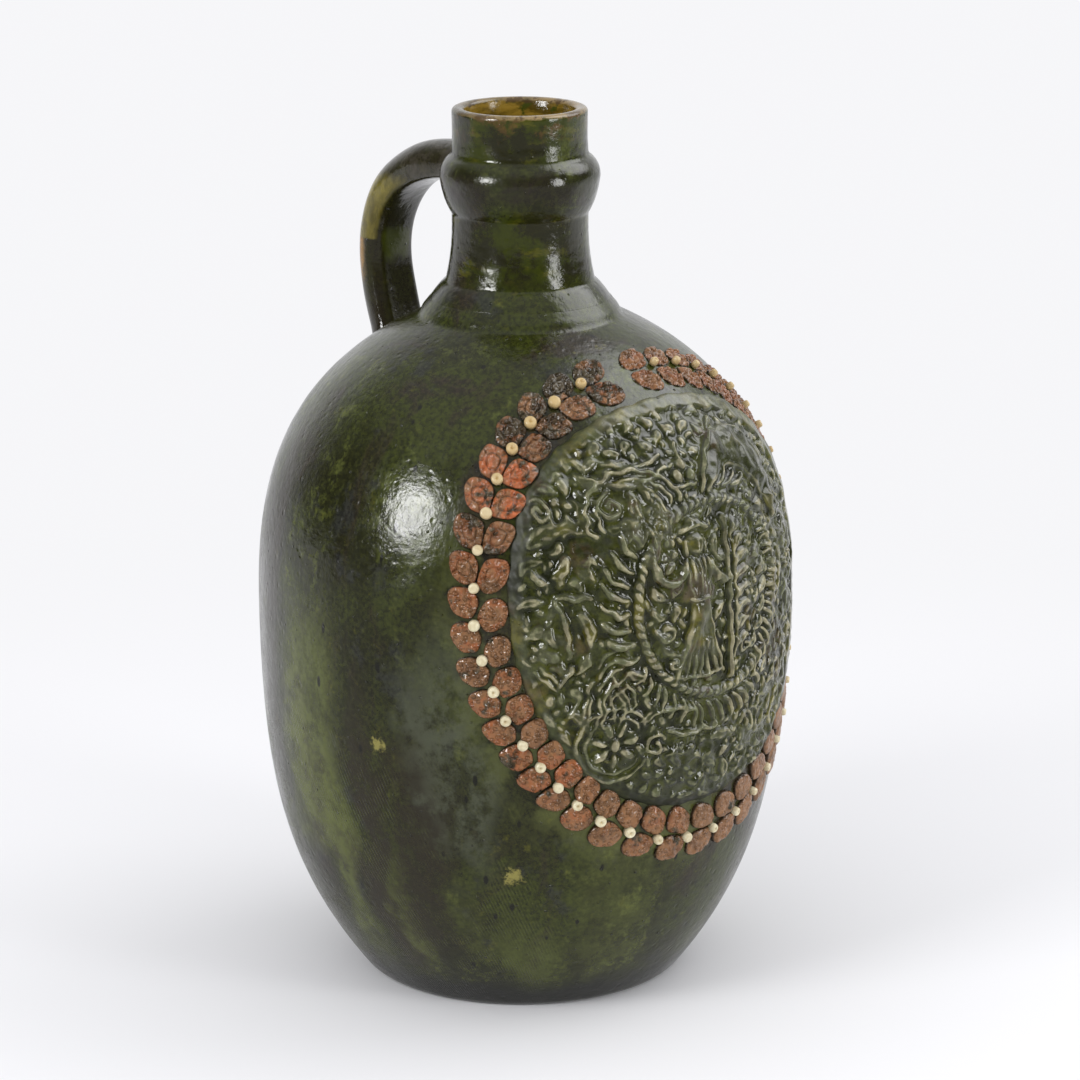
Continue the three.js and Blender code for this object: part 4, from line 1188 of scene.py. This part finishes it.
def draw_plumes(relief):
    """Feathered plumes that follow the ring on the left, below and on the right."""

    def ring_arc(start, end, radius):
        return arc(0, 0, radius, np.radians(np.linspace(start, end, 40)))

    relief.barbs(ring_arc(205, 142, 36.8), 10.5, 2.5, 2.0, 9, -28, 0.16)
    relief.barbs(ring_arc(300, 212, 36.6), 8.6, 2.0, 1.7, 15, 24, 0.14)
    relief.barbs(ring_arc(-4, -58, 36.6), -8.8, 2.0, 1.7, 10, -20, -0.14)
    relief.barbs(ring_arc(34, 0, 36.6), -8.0, 2.0, 1.7, 7, -24, -0.14)
    relief.stroke(ring_arc(206, 212, 47.5), 1.4, 1.3)
    for i in range(7):
        x, y = polar(196 + 4.6 * i, 41 + 0.8 * i)
        relief.stroke(bowed(x, y, x - 8.5, y - 6.5 - 0.6 * i, -0.12), 1.2, 1.4, 0.6)
    for i in range(5):
        x, y = polar(-46 - 7.0 * i, 47)
        relief.stroke(bowed(x, y, x + 7.0 - i, y + 2.4 - 1.8 * i, 0.14), 1.3, 1.4, 0.6)


def draw_left(relief):
    """Large single leaves on a bare ground, left of the plume."""
    relief.leaf(bowed(-68.5, 23.5, -49, 30.5, 0.10), 6.2, 1.6, 5)
    relief.leaf(bowed(-65.5, 43.0, -54, 41.6, 0.14), 5.4, 1.8, 3)
    relief.curl(-61.5, 35.5, 4.6, 150, -420, 1.6, 1.7)
    relief.stroke(bowed(-59, 36, -56, 29.5, -0.14), 1.4, 1.5)
    relief.leaf(bowed(-72, 14.5, -63, 19.0, 0.2), 3.6, 1.5, 3)
    relief.leaf(bowed(-62.5, 11.5, -68, 17.5, 0.2), 3.4, 1.5, 3)
    relief.leaf(bowed(-56, 20.5, -62, 13.5, 0.16), 4.2, 1.7, 3)
    relief.dome(-65.5, 12.4, 3.4, 3.4, 1.7)
    relief.stroke(bowed(-60.5, 7.5, -49.5, 6.6, -0.05), 2.0, 1.8, 0.4)
    relief.stroke(bowed(-61.5, 6.5, -57.5, -13.5, 0.07), 2.0, 1.7, 0.4)
    relief.leaf(bowed(-74, 3.5, -64.5, 5.4, 0.14), 3.6, 1.5, 3)
    relief.leaf(bowed(-66, -1.5, -72.5, -6.5, 0.2), 3.6, 1.6, 3)
    relief.leaf(bowed(-64, -3.0, -60.5, -9.5, -0.2), 3.8, 1.6, 3)
    relief.dome(-62.5, -13.0, 4.4, 4.4, 1.6)
    relief.rosette(-66.5, -11.5, 3.6, 5, 1.4)
    relief.stroke(bowed(-60.5, -23.5, -56.6, -17.2), 1.9, 2.2, 0.2)
    relief.stroke(bowed(-69.5, -18.0, -61.5, -25.0, 0.05), 1.3, 1.4)
    relief.stroke(bowed(-67.5, -16.5, -59.5, -23.5, 0.05), 1.3, 1.4)
    relief.leaf(bowed(-53.5, 1.5, -50.5, -10.5, 0.14), 4.6, 1.7, 4)
    relief.leaf(bowed(-51, -12, -56, -19, 0.2), 3.8, 1.6, 3)
    relief.spray(bowed(-48, 21, -52.5, 11.5, 0.1), 3, 4.4, 2.4, 1.4)


def draw_lower(relief):
    """Rosettes, scrolls and sprays under the ring."""
    relief.rosette(-41.5, -45.5, 9.0, 7, 1.7, 12)
    share = np.linspace(0, 1, 40)
    for radius, width in ((12.5, 1.5), (9.6, 1.0)):
        angle = radians(30) + radians(300) * share
        scallop = radius * (1 + 0.06 * np.abs(np.sin(7 * np.pi * share)))
        relief.stroke(arc(-41.5, -45.5, scallop, angle), width, 1.3, 0.3)
    relief.barbs(bowed(-54, -27, -38, -24, -0.14), -11, 1.4, 1.6, 9, -8, 0.08)
    relief.leaf(bowed(-57.5, -33, -50.5, -41, 0.16), 4.6, 1.5, 4)
    relief.leaf(bowed(-38, -21, -30.5, -24.4, 0.10), 3.4, 2.1, 3)
    relief.leaf(bowed(-26, -31.5, -33.5, -39, 0.12), 3.4, 1.8, 4)
    relief.leaf(bowed(-31, -28.5, -25.5, -36.8, -0.1), 2.6, 1.8, 4)
    relief.stroke(bowed(-28.5, -36.5, -11, -37.6, 0.10), 2.0, 1.9, 0.5)
    relief.stroke(bezier([[-21, -43], [-15, -48.5], [-10, -42], [-3.5, -45.5]], 20), 2.4, 2.3, 0.5)
    relief.dome(-3.0, -44.0, 3.4, 3.0, 2.3)
    relief.curl(-26.5, -47.5, 4.4, 20, 400, 1.4, 1.6)
    relief.leaf(bowed(-4, -49.5, 9, -51.5, 0.12), 4.2, 1.3, 4)
    relief.curl(16.5, -48.5, 4.6, 170, -420, 1.4, 1.6)
    relief.leaf(bowed(2.5, -58.5, 4.5, -66.5, 0.14), 4.4, 1.5, 3)
    for i in range(13):
        angle = 226 + 7.6 * i
        x, y = polar(angle, 57.5)
        dx, dy = polar(angle + (66 if i % 2 else 118), 6.6)
        relief.leaf(bowed(x, y, x + dx, y + dy, 0.16), 3.0, 1.35, 3)
    for i in range(8):
        angle = 232 + 9.0 * i
        x, y = polar(angle, 64.0)
        dx, dy = polar(angle + 84, 5.4)
        relief.leaf(bowed(x, y, x + dx, y + dy, -0.16), 2.5, 1.2, 3)
    relief.spray(bowed(24, -41, 46, -37, 0.14), 4, 6.0, 2.8, 1.5)
    relief.spray(bowed(-22, -52, -6, -56, 0.10), 3, 5.0, 2.4, 1.3)
    relief.spray(bowed(14, -57, 33, -51, 0.10), 4, 5.2, 2.6, 1.3)


def draw_right(relief):
    """Sprays and leaves right of the ring, towards the far edge."""
    relief.spray(bowed(45, 24, 57, 10, -0.12), 4, 6.2, 3.0, 1.5)
    relief.spray(bowed(46, -4, 58, -16, -0.12), 4, 6.2, 3.0, 1.5)
    relief.spray(bowed(43, -22, 52, -35, -0.12), 3, 6.0, 2.8, 1.5)
    relief.rosette(50.5, 2.5, 5.2, 6, 1.6, 10)
    relief.curl(57.5, 22.5, 3.8, 90, 400, 1.3, 1.5)
    relief.leaf(bowed(42, 14, 47, 4, 0.14), 4.2, 1.6, 4)
    relief.curl(54.5, -24.5, 3.6, 300, -400, 1.3, 1.4)


def draw_border_leaves(relief):
    """A running band of small leaves inside the border, over the top and down the left."""
    for i in range(20):
        angle = 24 + 6.4 * i
        radius = 58.5 + 1.4 * math.sin(1.9 * i)
        x, y = polar(angle, radius)
        dx, dy = polar(angle + (52 if i % 2 else 128), 6.4)
        bow = 0.18 if i % 2 else -0.18
        relief.leaf(bowed(x - 0.4 * dx, y - 0.4 * dy, x + 0.6 * dx, y + 0.6 * dy, bow), 3.4, 1.5, 3)
    for i in range(9):
        angle = 156 + 9.5 * i
        x, y = polar(angle, 64 - 2 * abs(math.cos(radians(angle))))
        dx, dy = polar(angle + 90 + (20 if i % 2 else -24), 5.6)
        relief.leaf(bowed(x, y, x + dx, y + dy, 0.16), 2.8, 1.25, 3)


def outside_bare_fields(x, y):
    """False on the three oval fields that stay bare: two beside the left plume, one low in the middle."""
    fields = ((-52, 2, 8, 15), (-52, 22, 12, 6), (-10, -53.5, 12, 4))
    return all(math.hypot((x - a) / width, (y - b) / height) > 1 for a, b, width, height in fields)


def drawn_relief():
    relief = Relief()
    for draw in (
        draw_rope_ring,
        draw_figure,
        draw_ring_foliage,
        draw_upper_left,
        draw_upper_right,
        draw_plumes,
        draw_left,
        draw_lower,
        draw_right,
        draw_border_leaves,
    ):
        draw(relief)
    rng = np.random.default_rng(41)
    for tries, lengths in ((2600, (4.2, 6.2)), (4200, (2.4, 3.6))):
        relief.fill(rng, tries, lengths)
    places = np.stack([relief.x, relief.y], axis=-1)
    relief.height *= RELIEF_SCALE + RELIEF_SCALE_SPREAD * ripples(places, 7, 23)
    return relief


def roundel_edge(angles):
    """Radius of the slab's uneven edge, which is squeezed out farther on the left."""
    spill = ROUNDEL_SPILL * smoothstep(-0.1, 0.8, np.cos(angles - radians(SPILL_ANGLE)))
    wobble = 0.35 * np.sin(5 * angles) + 0.22 * np.sin(17 * angles + 1) + 0.28 * np.sin(43 * angles)
    return ROUNDEL_RADIUS + spill + wobble


def make_roundel(material):
    """The slab with its border and the worn relief, and the crests, hollows and edges that its glaze reads:
    a painted highlight on the crests and a painted sheen on the plain border.
    """
    relief = drawn_relief()
    fine = relief.softened(FINE_WEAR)
    rounder = relief.softened(ROUND_WEAR)
    soft = 0.8 * fine + 0.2 * rounder
    broad = relief.softened(BROAD_WEAR)
    field = LUTE_GAP + ROUNDEL_FIELD_THICKNESS
    border = LUTE_GAP + ROUNDEL_BORDER_THICKNESS
    angles = np.arange(ROUNDEL_SEGMENTS) * 2 * np.pi / ROUNDEL_SEGMENTS
    edge_line = roundel_edge(angles)
    radii = edge_line * np.linspace(0, 1, ROUNDEL_RINGS + 1)[1:, None]
    u = radii * np.cos(angles)
    v = radii * np.sin(angles)
    flat = np.stack([u, v], axis=-1)
    plain = 0.12 + 0.88 * smoothstep(-0.25, 0.45, np.cos(angles - radians(BORDER_PLAIN_ANGLE)))
    inner = edge_line - 0.6 - ROUNDEL_BORDER_WIDTH * plain
    inside = 1 - smoothstep(inner - 1.6, inner + 0.2, radii)
    worn_u = u + 0.35 * ripples(flat, 6, 24)
    worn_v = v + 0.35 * ripples(flat, 6, 25)
    relief_height = relief.sample(soft, worn_u, worn_v)
    bare = 1 - smoothstep(0.3, 1.3, relief_height)
    relief_height = (relief_height + GROUND_LUMPS * bare * (1 - np.abs(ripples(flat, 8.5, 26)))) * inside
    wander = 0.16 * ripples(flat, 14, 21) + 0.06 * ripples(flat, 3.5, 22)
    near_edge = smoothstep(edge_line - 7.0, edge_line - 2.0, radii) * (1 - plain)
    wander = wander + 0.30 * near_edge * ripples(flat, 4.5, 27)
    lift = field + (border - field) * (1 - inside) * plain + relief_height + wander
    slope = 1.8 + 2.6 * smoothstep(-0.2, 0.7, np.cos(angles - radians(SPILL_ANGLE)))
    edge = smoothstep(edge_line, edge_line - slope, radii)
    lift = 0.1 + (lift - 0.1) * np.sqrt(edge)
    top = on_belly(u, v, lift)
    under_radii = edge_line * np.linspace(0.08, 1, 14)[:, None]
    under = on_belly(under_radii * np.cos(angles), under_radii * np.sin(angles), ROUNDEL_BASE)
    centre_lift = field + float(relief.sample(soft, np.array([0.0]), np.array([0.0]))[0])
    rows = np.concatenate([under, top[::-1]])
    tips = [on_belly(0.0, 0.0, rise) for rise in (ROUNDEL_BASE, centre_lift)]
    piece = skinned("roundel_relief", rows, tips, material)
    cavity = relief.sample(soft - broad, worn_u, worn_v) * inside
    crest = relief.sample(fine - rounder, worn_u, worn_v) * inside
    # The ridge value carries a painted highlight on the crests and a painted sheen on the plain border
    ridge = np.clip(2.6 * crest, 0, 1) + 0.5 * (1 - inside) * plain
    raised = np.clip(relief_height / 1.4, 0, 1)
    pool = np.clip(0.10 - 1.6 * cavity, 0, 1) * inside
    wall = smoothstep(edge_line - slope - 1.5, edge_line - slope + 0.5, radii)
    worn_edge = np.maximum(near_edge, 2.0 * wall)
    unseen = np.zeros(under_radii.size)
    for name, values in (("ridge", ridge), ("raised", raised), ("pool", pool), ("edge", worn_edge)):
        paint(piece, name, np.concatenate([unseen, values[::-1].ravel(), [0, values[0, 0]]]))
    return piece


# Wreath


def wreath_angle(step):
    """Angle on the roundel's chart, in radians. The first pairs drift ahead of an even spacing."""
    drift = math.sin(math.pi * step / WREATH_DRIFT_PAIRS) if step < WREATH_DRIFT_PAIRS else 0.0
    return radians(WREATH_START_ANGLE + WREATH_PITCH_ANGLE * step + WREATH_DRIFT_ANGLE * drift)


def on_wreath(angle):
    radius = WREATH_RADIUS + WREATH_WAVER * math.cos(4 * angle + radians(WREATH_WAVER_TURN))
    return radius * math.cos(angle), radius * math.sin(angle)


class Pair:
    """Place, heading and size of one pair of petals on the wreath."""

    def __init__(self, number):
        start = wreath_angle(number - 0.5)
        end = wreath_angle(number + 0.5)
        self.number = number
        self.chart = local_chart(*on_wreath((start + end) / 2))
        ahead = on_belly(*on_wreath(end), 0.0) - on_belly(*on_wreath(start), 0.0)
        up = self.chart(0.0, 1.0, 0.0) - self.chart(0.0, -1.0, 0.0)
        across = self.chart(1.0, 0.0, 0.0) - self.chart(-1.0, 0.0, 0.0)
        climb = float(ahead @ up) / np.linalg.norm(up)
        self.heading = math.atan2(climb, float(ahead @ across) / np.linalg.norm(across))
        self.spacing = float(np.linalg.norm(ahead))

    def place(self, ahead, outward, lift):
        """Points at a way ahead on the wreath and outward from it."""
        c, s = math.cos(self.heading), math.sin(self.heading)
        return self.chart(ahead * c + outward * s, ahead * s - outward * c, lift)

    def petal(self, hand):
        """Place of a petal. On the left side the two rows run staggered, as in a plait."""
        stagger = float(smoothstep(6, 9, self.number) * smoothstep(20, 15, self.number))
        lead = PETAL_LEAD - PETAL_STAGGER * stagger if hand > 0 else PETAL_LEAD + PETAL_STAGGER * stagger
        return lead, hand * PETAL_SPREAD

    def centre(self, hand):
        return self.place(*self.petal(hand), 0.0)

    def room(self, hand, pairs, angle):
        """How far the petal can reach each way before it meets the middle line to a neighbour."""
        own = self.centre(hand)
        lead, across = self.petal(hand)
        ahead = self.place(lead + 1, across, 0.0) - own
        outward = self.place(lead, across + 1, 0.0) - own
        joint = PETAL_JOINT * (1 - 2 * float(smoothstep(10, 6, self.number)))
        reach = np.full(angle.shape, 1e3)
        for other in pairs[max(self.number - 1, 0) : self.number + 2]:
            for other_hand in (1, -1):
                if (other, other_hand) != (self, hand):
                    away = other.centre(other_hand) - own
                    x, y, gap = float(away @ ahead), float(away @ outward), float(np.linalg.norm(away))
                    facing = (x * np.cos(angle) + y * np.sin(angle)) / gap
                    middle = 0.5 * (gap - joint) / np.maximum(facing, 0.05)
                    reach = np.where(facing > 0.05, np.minimum(reach, middle), reach)
        return reach


def stamp(shares, angle, lobes):
    """Depth pressed into a petal, 0 to 1: grooves between the rim lobes, an oval loop and an eye."""
    groove = (0.5 - 0.5 * np.cos(lobes * angle)) ** 2.5 * smoothstep(0.50, 0.66, shares)
    loop = np.exp(-(((shares - 0.47) / 0.10) ** 2))
    eye = 0.9 * np.exp(-((shares / 0.20) ** 2))
    return np.maximum(np.maximum(groove, loop), eye)


def petal_rim(pair, hand, pairs, angle, rng):
    """Reach of the rim each way: a slanting oval that is pressed flat against its neighbours."""
    turn = -hand * radians(PETAL_SLANT_ANGLE + rng.uniform(-9, 7))
    grown = 1 + 0.08 * float(smoothstep(9, 5, pair.number))
    length = PETAL_HALF_LENGTH * grown * rng.uniform(0.95, 1.04)
    width = PETAL_HALF_WIDTH * grown * rng.uniform(0.94, 1.04)
    oval = length * width / np.hypot(width * np.cos(angle - turn), length * np.sin(angle - turn))
    squeeze = 0.030 * np.sin(2 * angle + rng.uniform(0, 6))
    oval *= 1 + squeeze + 0.015 * np.sin(5 * angle + rng.uniform(0, 6))
    room = pair.room(hand, pairs, angle)
    rim_line = (oval**-7 + room**-7) ** (-1 / 7)
    for _ in range(2):
        rim_line = 0.25 * np.roll(rim_line, 1) + 0.5 * rim_line + 0.25 * np.roll(rim_line, -1)
    return rim_line


def make_petal(pair, hand, pairs, material):
    """An oval cushion of clay. The first petals and the last ones bear a stamp."""
    number = pair.number
    rng = np.random.default_rng(1000 * hand + number + 5000)
    angle = -np.arange(PETAL_SIDES) * 2 * np.pi / PETAL_SIDES
    rim_line = petal_rim(pair, hand, pairs, angle, rng)
    shares = 1 - np.linspace(0, 1, PETAL_RINGS + 1)[:-1] ** 1.35
    x = shares[:, None] * rim_line * np.cos(angle)
    y = shares[:, None] * rim_line * np.sin(angle)
    flat = np.stack([x, y], axis=-1)
    late = float(smoothstep(*LATE_PAIRS, number))
    thickness = PETAL_THICKNESS * rng.uniform(0.92, 1.08) * (1 - 0.30 * late)
    crown = np.sqrt(1 - shares**7)
    stamped = max(float(smoothstep(*STAMPED_PAIRS, number)), late)
    lumpy = float(smoothstep(*LUMPY_PAIRS, number))
    droplets = max(float(smoothstep(26, 14, number) * smoothstep(5, 8, number)), 0.7 * late)
    coarse = ripples(flat, 2.6 + 1.6 * droplets, number + 50 * hand + 60)
    lumps = (0.10 + 0.12 * lumpy + 0.18 * droplets) * coarse + 0.05 * ripples(flat, 1.1, number + 7)
    radial = np.broadcast_to(shares[:, None], x.shape)
    pressed = stamped * stamp(radial, angle[None, :] + rng.uniform(0, 6), 8)
    cushion = thickness * (0.92 + 0.08 * (1 - radial**2))
    lift = crown[:, None] * (cushion + lumps - pressed) + 0.12
    lead, across = pair.petal(hand)
    base = pair.place(lead + x[:1], across + y[:1], PETAL_BASE)
    rows = np.concatenate([base, pair.place(lead + x, across + y, lift)])
    tips = [pair.place(lead, across, rise) for rise in (PETAL_BASE, float(lift[-1].mean()))]
    side = "outer" if hand > 0 else "inner"
    piece = skinned(f"petal_{side}_{number + 1:02d}", rows, tips, material)
    glazed = rng.uniform(0.45, 0.75) if number in GLAZED_PAIRS else rng.uniform(0.05, 0.28) * lumpy
    bright = rng.uniform(0.60, 1.0) if number in BRIGHT_PAIRS else rng.uniform(0.0, 0.45) * lumpy
    bright = max(bright, 0.22 * late)
    # Pooled glaze in the stamped dents and round the rim, and painted shade for the gaps at the rim
    shade = np.maximum(radial**10, (0.62 - 0.3 * late) * pressed)
    rim = np.concatenate([np.ones(PETAL_SIDES), shade.ravel(), [1, 0]])
    paint(piece, "rim", rim)
    for name, value in (("glazed", glazed), ("bright", bright), ("droplets", droplets)):
        paint(piece, name, np.full(len(rim), value))
    return piece


def make_bead(pair, material):
    """A ball of slip between the pair and the next, often with a dimple. The later ones are smaller."""
    rng = np.random.default_rng(pair.number + 900)
    angle = -np.arange(BEAD_SIDES) * 2 * np.pi / BEAD_SIDES
    shares = np.array([1.0, 1.0, 0.97, 0.9, 0.78, 0.62, 0.45, 0.28, 0.14])
    rises = np.array([0.0, 0.45, 0.66, 0.82, 0.93, 0.98, 1.0, 0.99, 0.98])
    dimple = rng.uniform() < 0.55
    if dimple:
        rises = rises - 0.30 * np.exp(-((shares / 0.30) ** 2))
    shrunk = 1 - 0.34 * float(smoothstep(15, 27, pair.number))
    radius = BEAD_RADIUS * rng.uniform(0.90, 1.06) * shrunk
    x = pair.spacing / 2 + shares[:, None] * radius * np.cos(angle)
    y = shares[:, None] * radius * np.sin(angle) + BEAD_OUTWARD + rng.uniform(-0.6, 0.6)
    lift = BEAD_BASE + np.broadcast_to(rises[:, None] * BEAD_RISE, x.shape)
    rows = pair.place(x, y, lift)
    centre = float(y.mean())
    tips = [pair.place(pair.spacing / 2, centre, rise) for rise in (BEAD_BASE, float(lift[-1, 0]))]
    piece = skinned(f"bead_{pair.number + 1:02d}", rows, tips, material)
    stained = 0.75 * max(smoothstep(9, 2, pair.number), 0.9 * smoothstep(24, 28, pair.number))
    eye = 0.55 * np.exp(-((shares / 0.22) ** 2)) if dimple else np.zeros(len(shares))
    stain = np.clip(stained + np.repeat(eye, BEAD_SIDES), 0, 1)
    paint(piece, "stain", np.concatenate([stain, [stained, 0.9 if dimple else stained]]))
    return piece


def make_wreath(terracotta, cream):
    pairs = [Pair(number) for number in range(WREATH_PAIRS)]
    for number, pair in enumerate(pairs):
        node = f"wreath_pair_{number + 1:02d}"
        for hand in (1, -1):
            dress(make_petal(pair, hand, pairs, terracotta), "terracotta", node)
        if number < WREATH_PAIRS - 1:
            dress(make_bead(pair, cream), "cream_slip", node)


# Stage, light and camera


def direction(azimuth, elevation):
    """Unit vector at an azimuth from -Y, to the right, and an elevation."""
    a, e = radians(azimuth), radians(elevation)
    return Vector((math.sin(a) * math.cos(e), -math.cos(a) * math.cos(e), math.sin(e)))


def make_world():
    """A white sweep behind the object and over it, and a dim room for what its front reflects."""
    world = bpy.data.worlds.new("studio")
    graph = Graph(world, "Generated")
    z = graph.axis("Z")
    sweep = graph.toward(-direction(CAMERA_AZIMUTH, 0)).ramp(0.30, 0.85, ROOM_LIGHT, 1.0)
    ceiling = z.ramp(0.45, 0.90, ROOM_LIGHT, CEILING_LIGHT)
    window = direction(*HIGH_WINDOW)
    window_seen = (graph.toward(window) + z * window.z).ramp(0.84, 0.97, 0.0, HIGH_WINDOW_LIGHT)
    overhead = graph.math("MAXIMUM", ceiling, window_seen)
    glossy = graph.ray("Glossy")
    direct = graph.direct_ray()
    mirrored = glossy * graph.math("MAXIMUM", sweep, overhead)
    scattered = 1.0 - graph.math("MAXIMUM", glossy, direct)
    around = scattered * z.ramp(-0.1, 0.9, 0.80 * WORLD_LIGHT, 1.30 * WORLD_LIGHT)
    background = graph.nodes["Background"].inputs
    graph.feed(background["Color"], STUDIO_WHITE)
    graph.feed(background["Strength"], mirrored + around + direct)
    bpy.context.scene.world = world


def make_floor():
    """A pale floor that shows the shadow near the object and runs out into the white sweep."""
    shader = Shader("pale_floor", FLOOR_COLOUR)
    shader.finish(0.9)
    shader.surface.inputs["Specular IOR Level"].default_value = 0.0
    lit = Value(shader, shader.surface.outputs[0])
    distance = shader.node("ShaderNodeVectorMath", {0: shader.place}, "Value", operation="LENGTH")
    white = shader.node("ShaderNodeEmission", {"Color": STUDIO_WHITE})
    seen = shader.mix_light(distance.ramp(0.16, 0.62) * shader.direct_ray(), lit, white)
    dim = shader.node("ShaderNodeEmission", {"Strength": FLOOR_MIRRORED})
    before = shader.toward(direction(CAMERA_AZIMUTH, 0)).ramp(-0.25, 0.25)
    mirrored = shader.mix_light(shader.ray("Glossy") * before, seen, dim)
    shader.feed(shader.nodes["Material Output"].inputs["Surface"], mirrored)
    half = FLOOR_SIZE / 2
    outline = [(-half, -half, 0), (half, -half, 0), (half, half, 0), (-half, half, 0)]
    new_piece("floor", outline, [(0, 1, 2, 3)], shader.material)


def make_softbox(name, azimuth, elevation, distance, width, height, power):
    data = bpy.data.lights.new(name, "AREA")
    data.shape = "RECTANGLE"
    data.size = width
    data.size_y = height
    data.energy = power
    lamp = bpy.data.objects.new(name, data)
    bpy.context.scene.collection.objects.link(lamp)
    lamp.location = Vector((0, 0, SOFTBOX_AIM_HEIGHT)) + distance * direction(azimuth, elevation)
    lamp.rotation_euler = direction(azimuth, elevation).to_track_quat("Z", "Y").to_euler()
    return lamp


def make_camera():
    data = bpy.data.cameras.new("camera")
    data.lens = CAMERA_LENS
    data.sensor_width = CAMERA_SENSOR
    data.shift_x, data.shift_y = CAMERA_SHIFT
    camera = bpy.data.objects.new("camera", data)
    bpy.context.scene.collection.objects.link(camera)
    sight = direction(CAMERA_AZIMUTH, CAMERA_ELEVATION)
    turn = sight.to_track_quat("Z", "Y").to_matrix().to_4x4()
    roll = Matrix.Rotation(radians(CAMERA_ROLL), 4, "Z")
    aim = Vector((0, 0, CAMERA_AIM_HEIGHT))
    camera.matrix_world = Matrix.Translation(aim + CAMERA_DISTANCE * sight) @ turn @ roll
    bpy.context.scene.camera = camera


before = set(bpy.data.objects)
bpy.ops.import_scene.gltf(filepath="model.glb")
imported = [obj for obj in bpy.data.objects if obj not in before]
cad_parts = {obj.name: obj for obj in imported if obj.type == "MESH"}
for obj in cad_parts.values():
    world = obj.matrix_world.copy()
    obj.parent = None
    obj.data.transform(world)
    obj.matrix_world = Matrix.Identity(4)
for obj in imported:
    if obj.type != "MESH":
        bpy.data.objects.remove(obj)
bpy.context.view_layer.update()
make_camera()
make_world()
make_floor()
softboxes = {name: make_softbox(name, *sizes) for name, sizes in SOFTBOXES.items()}
softboxes["key_window"].visible_diffuse = False
softboxes["left_light"].visible_glossy = False
softboxes["high_window"].visible_glossy = False

thrown_nodes = ("belly", "neck", "handle")
relief_nodes = [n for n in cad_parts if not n.startswith("wreath_pair") and n not in thrown_nodes]
dress(make_belly(make_belly_glaze()), "green_glaze", "belly")
dress(make_neck(make_neck_glaze()), "green_glaze", "neck")
dress(make_handle(make_handle_glaze()), "green_glaze", "handle")
dress(make_roundel(make_relief_glaze()), "relief_glaze", *relief_nodes)
make_wreath(make_terracotta(), make_cream_slip())

bpy.context.scene.view_settings.view_transform = "Standard"
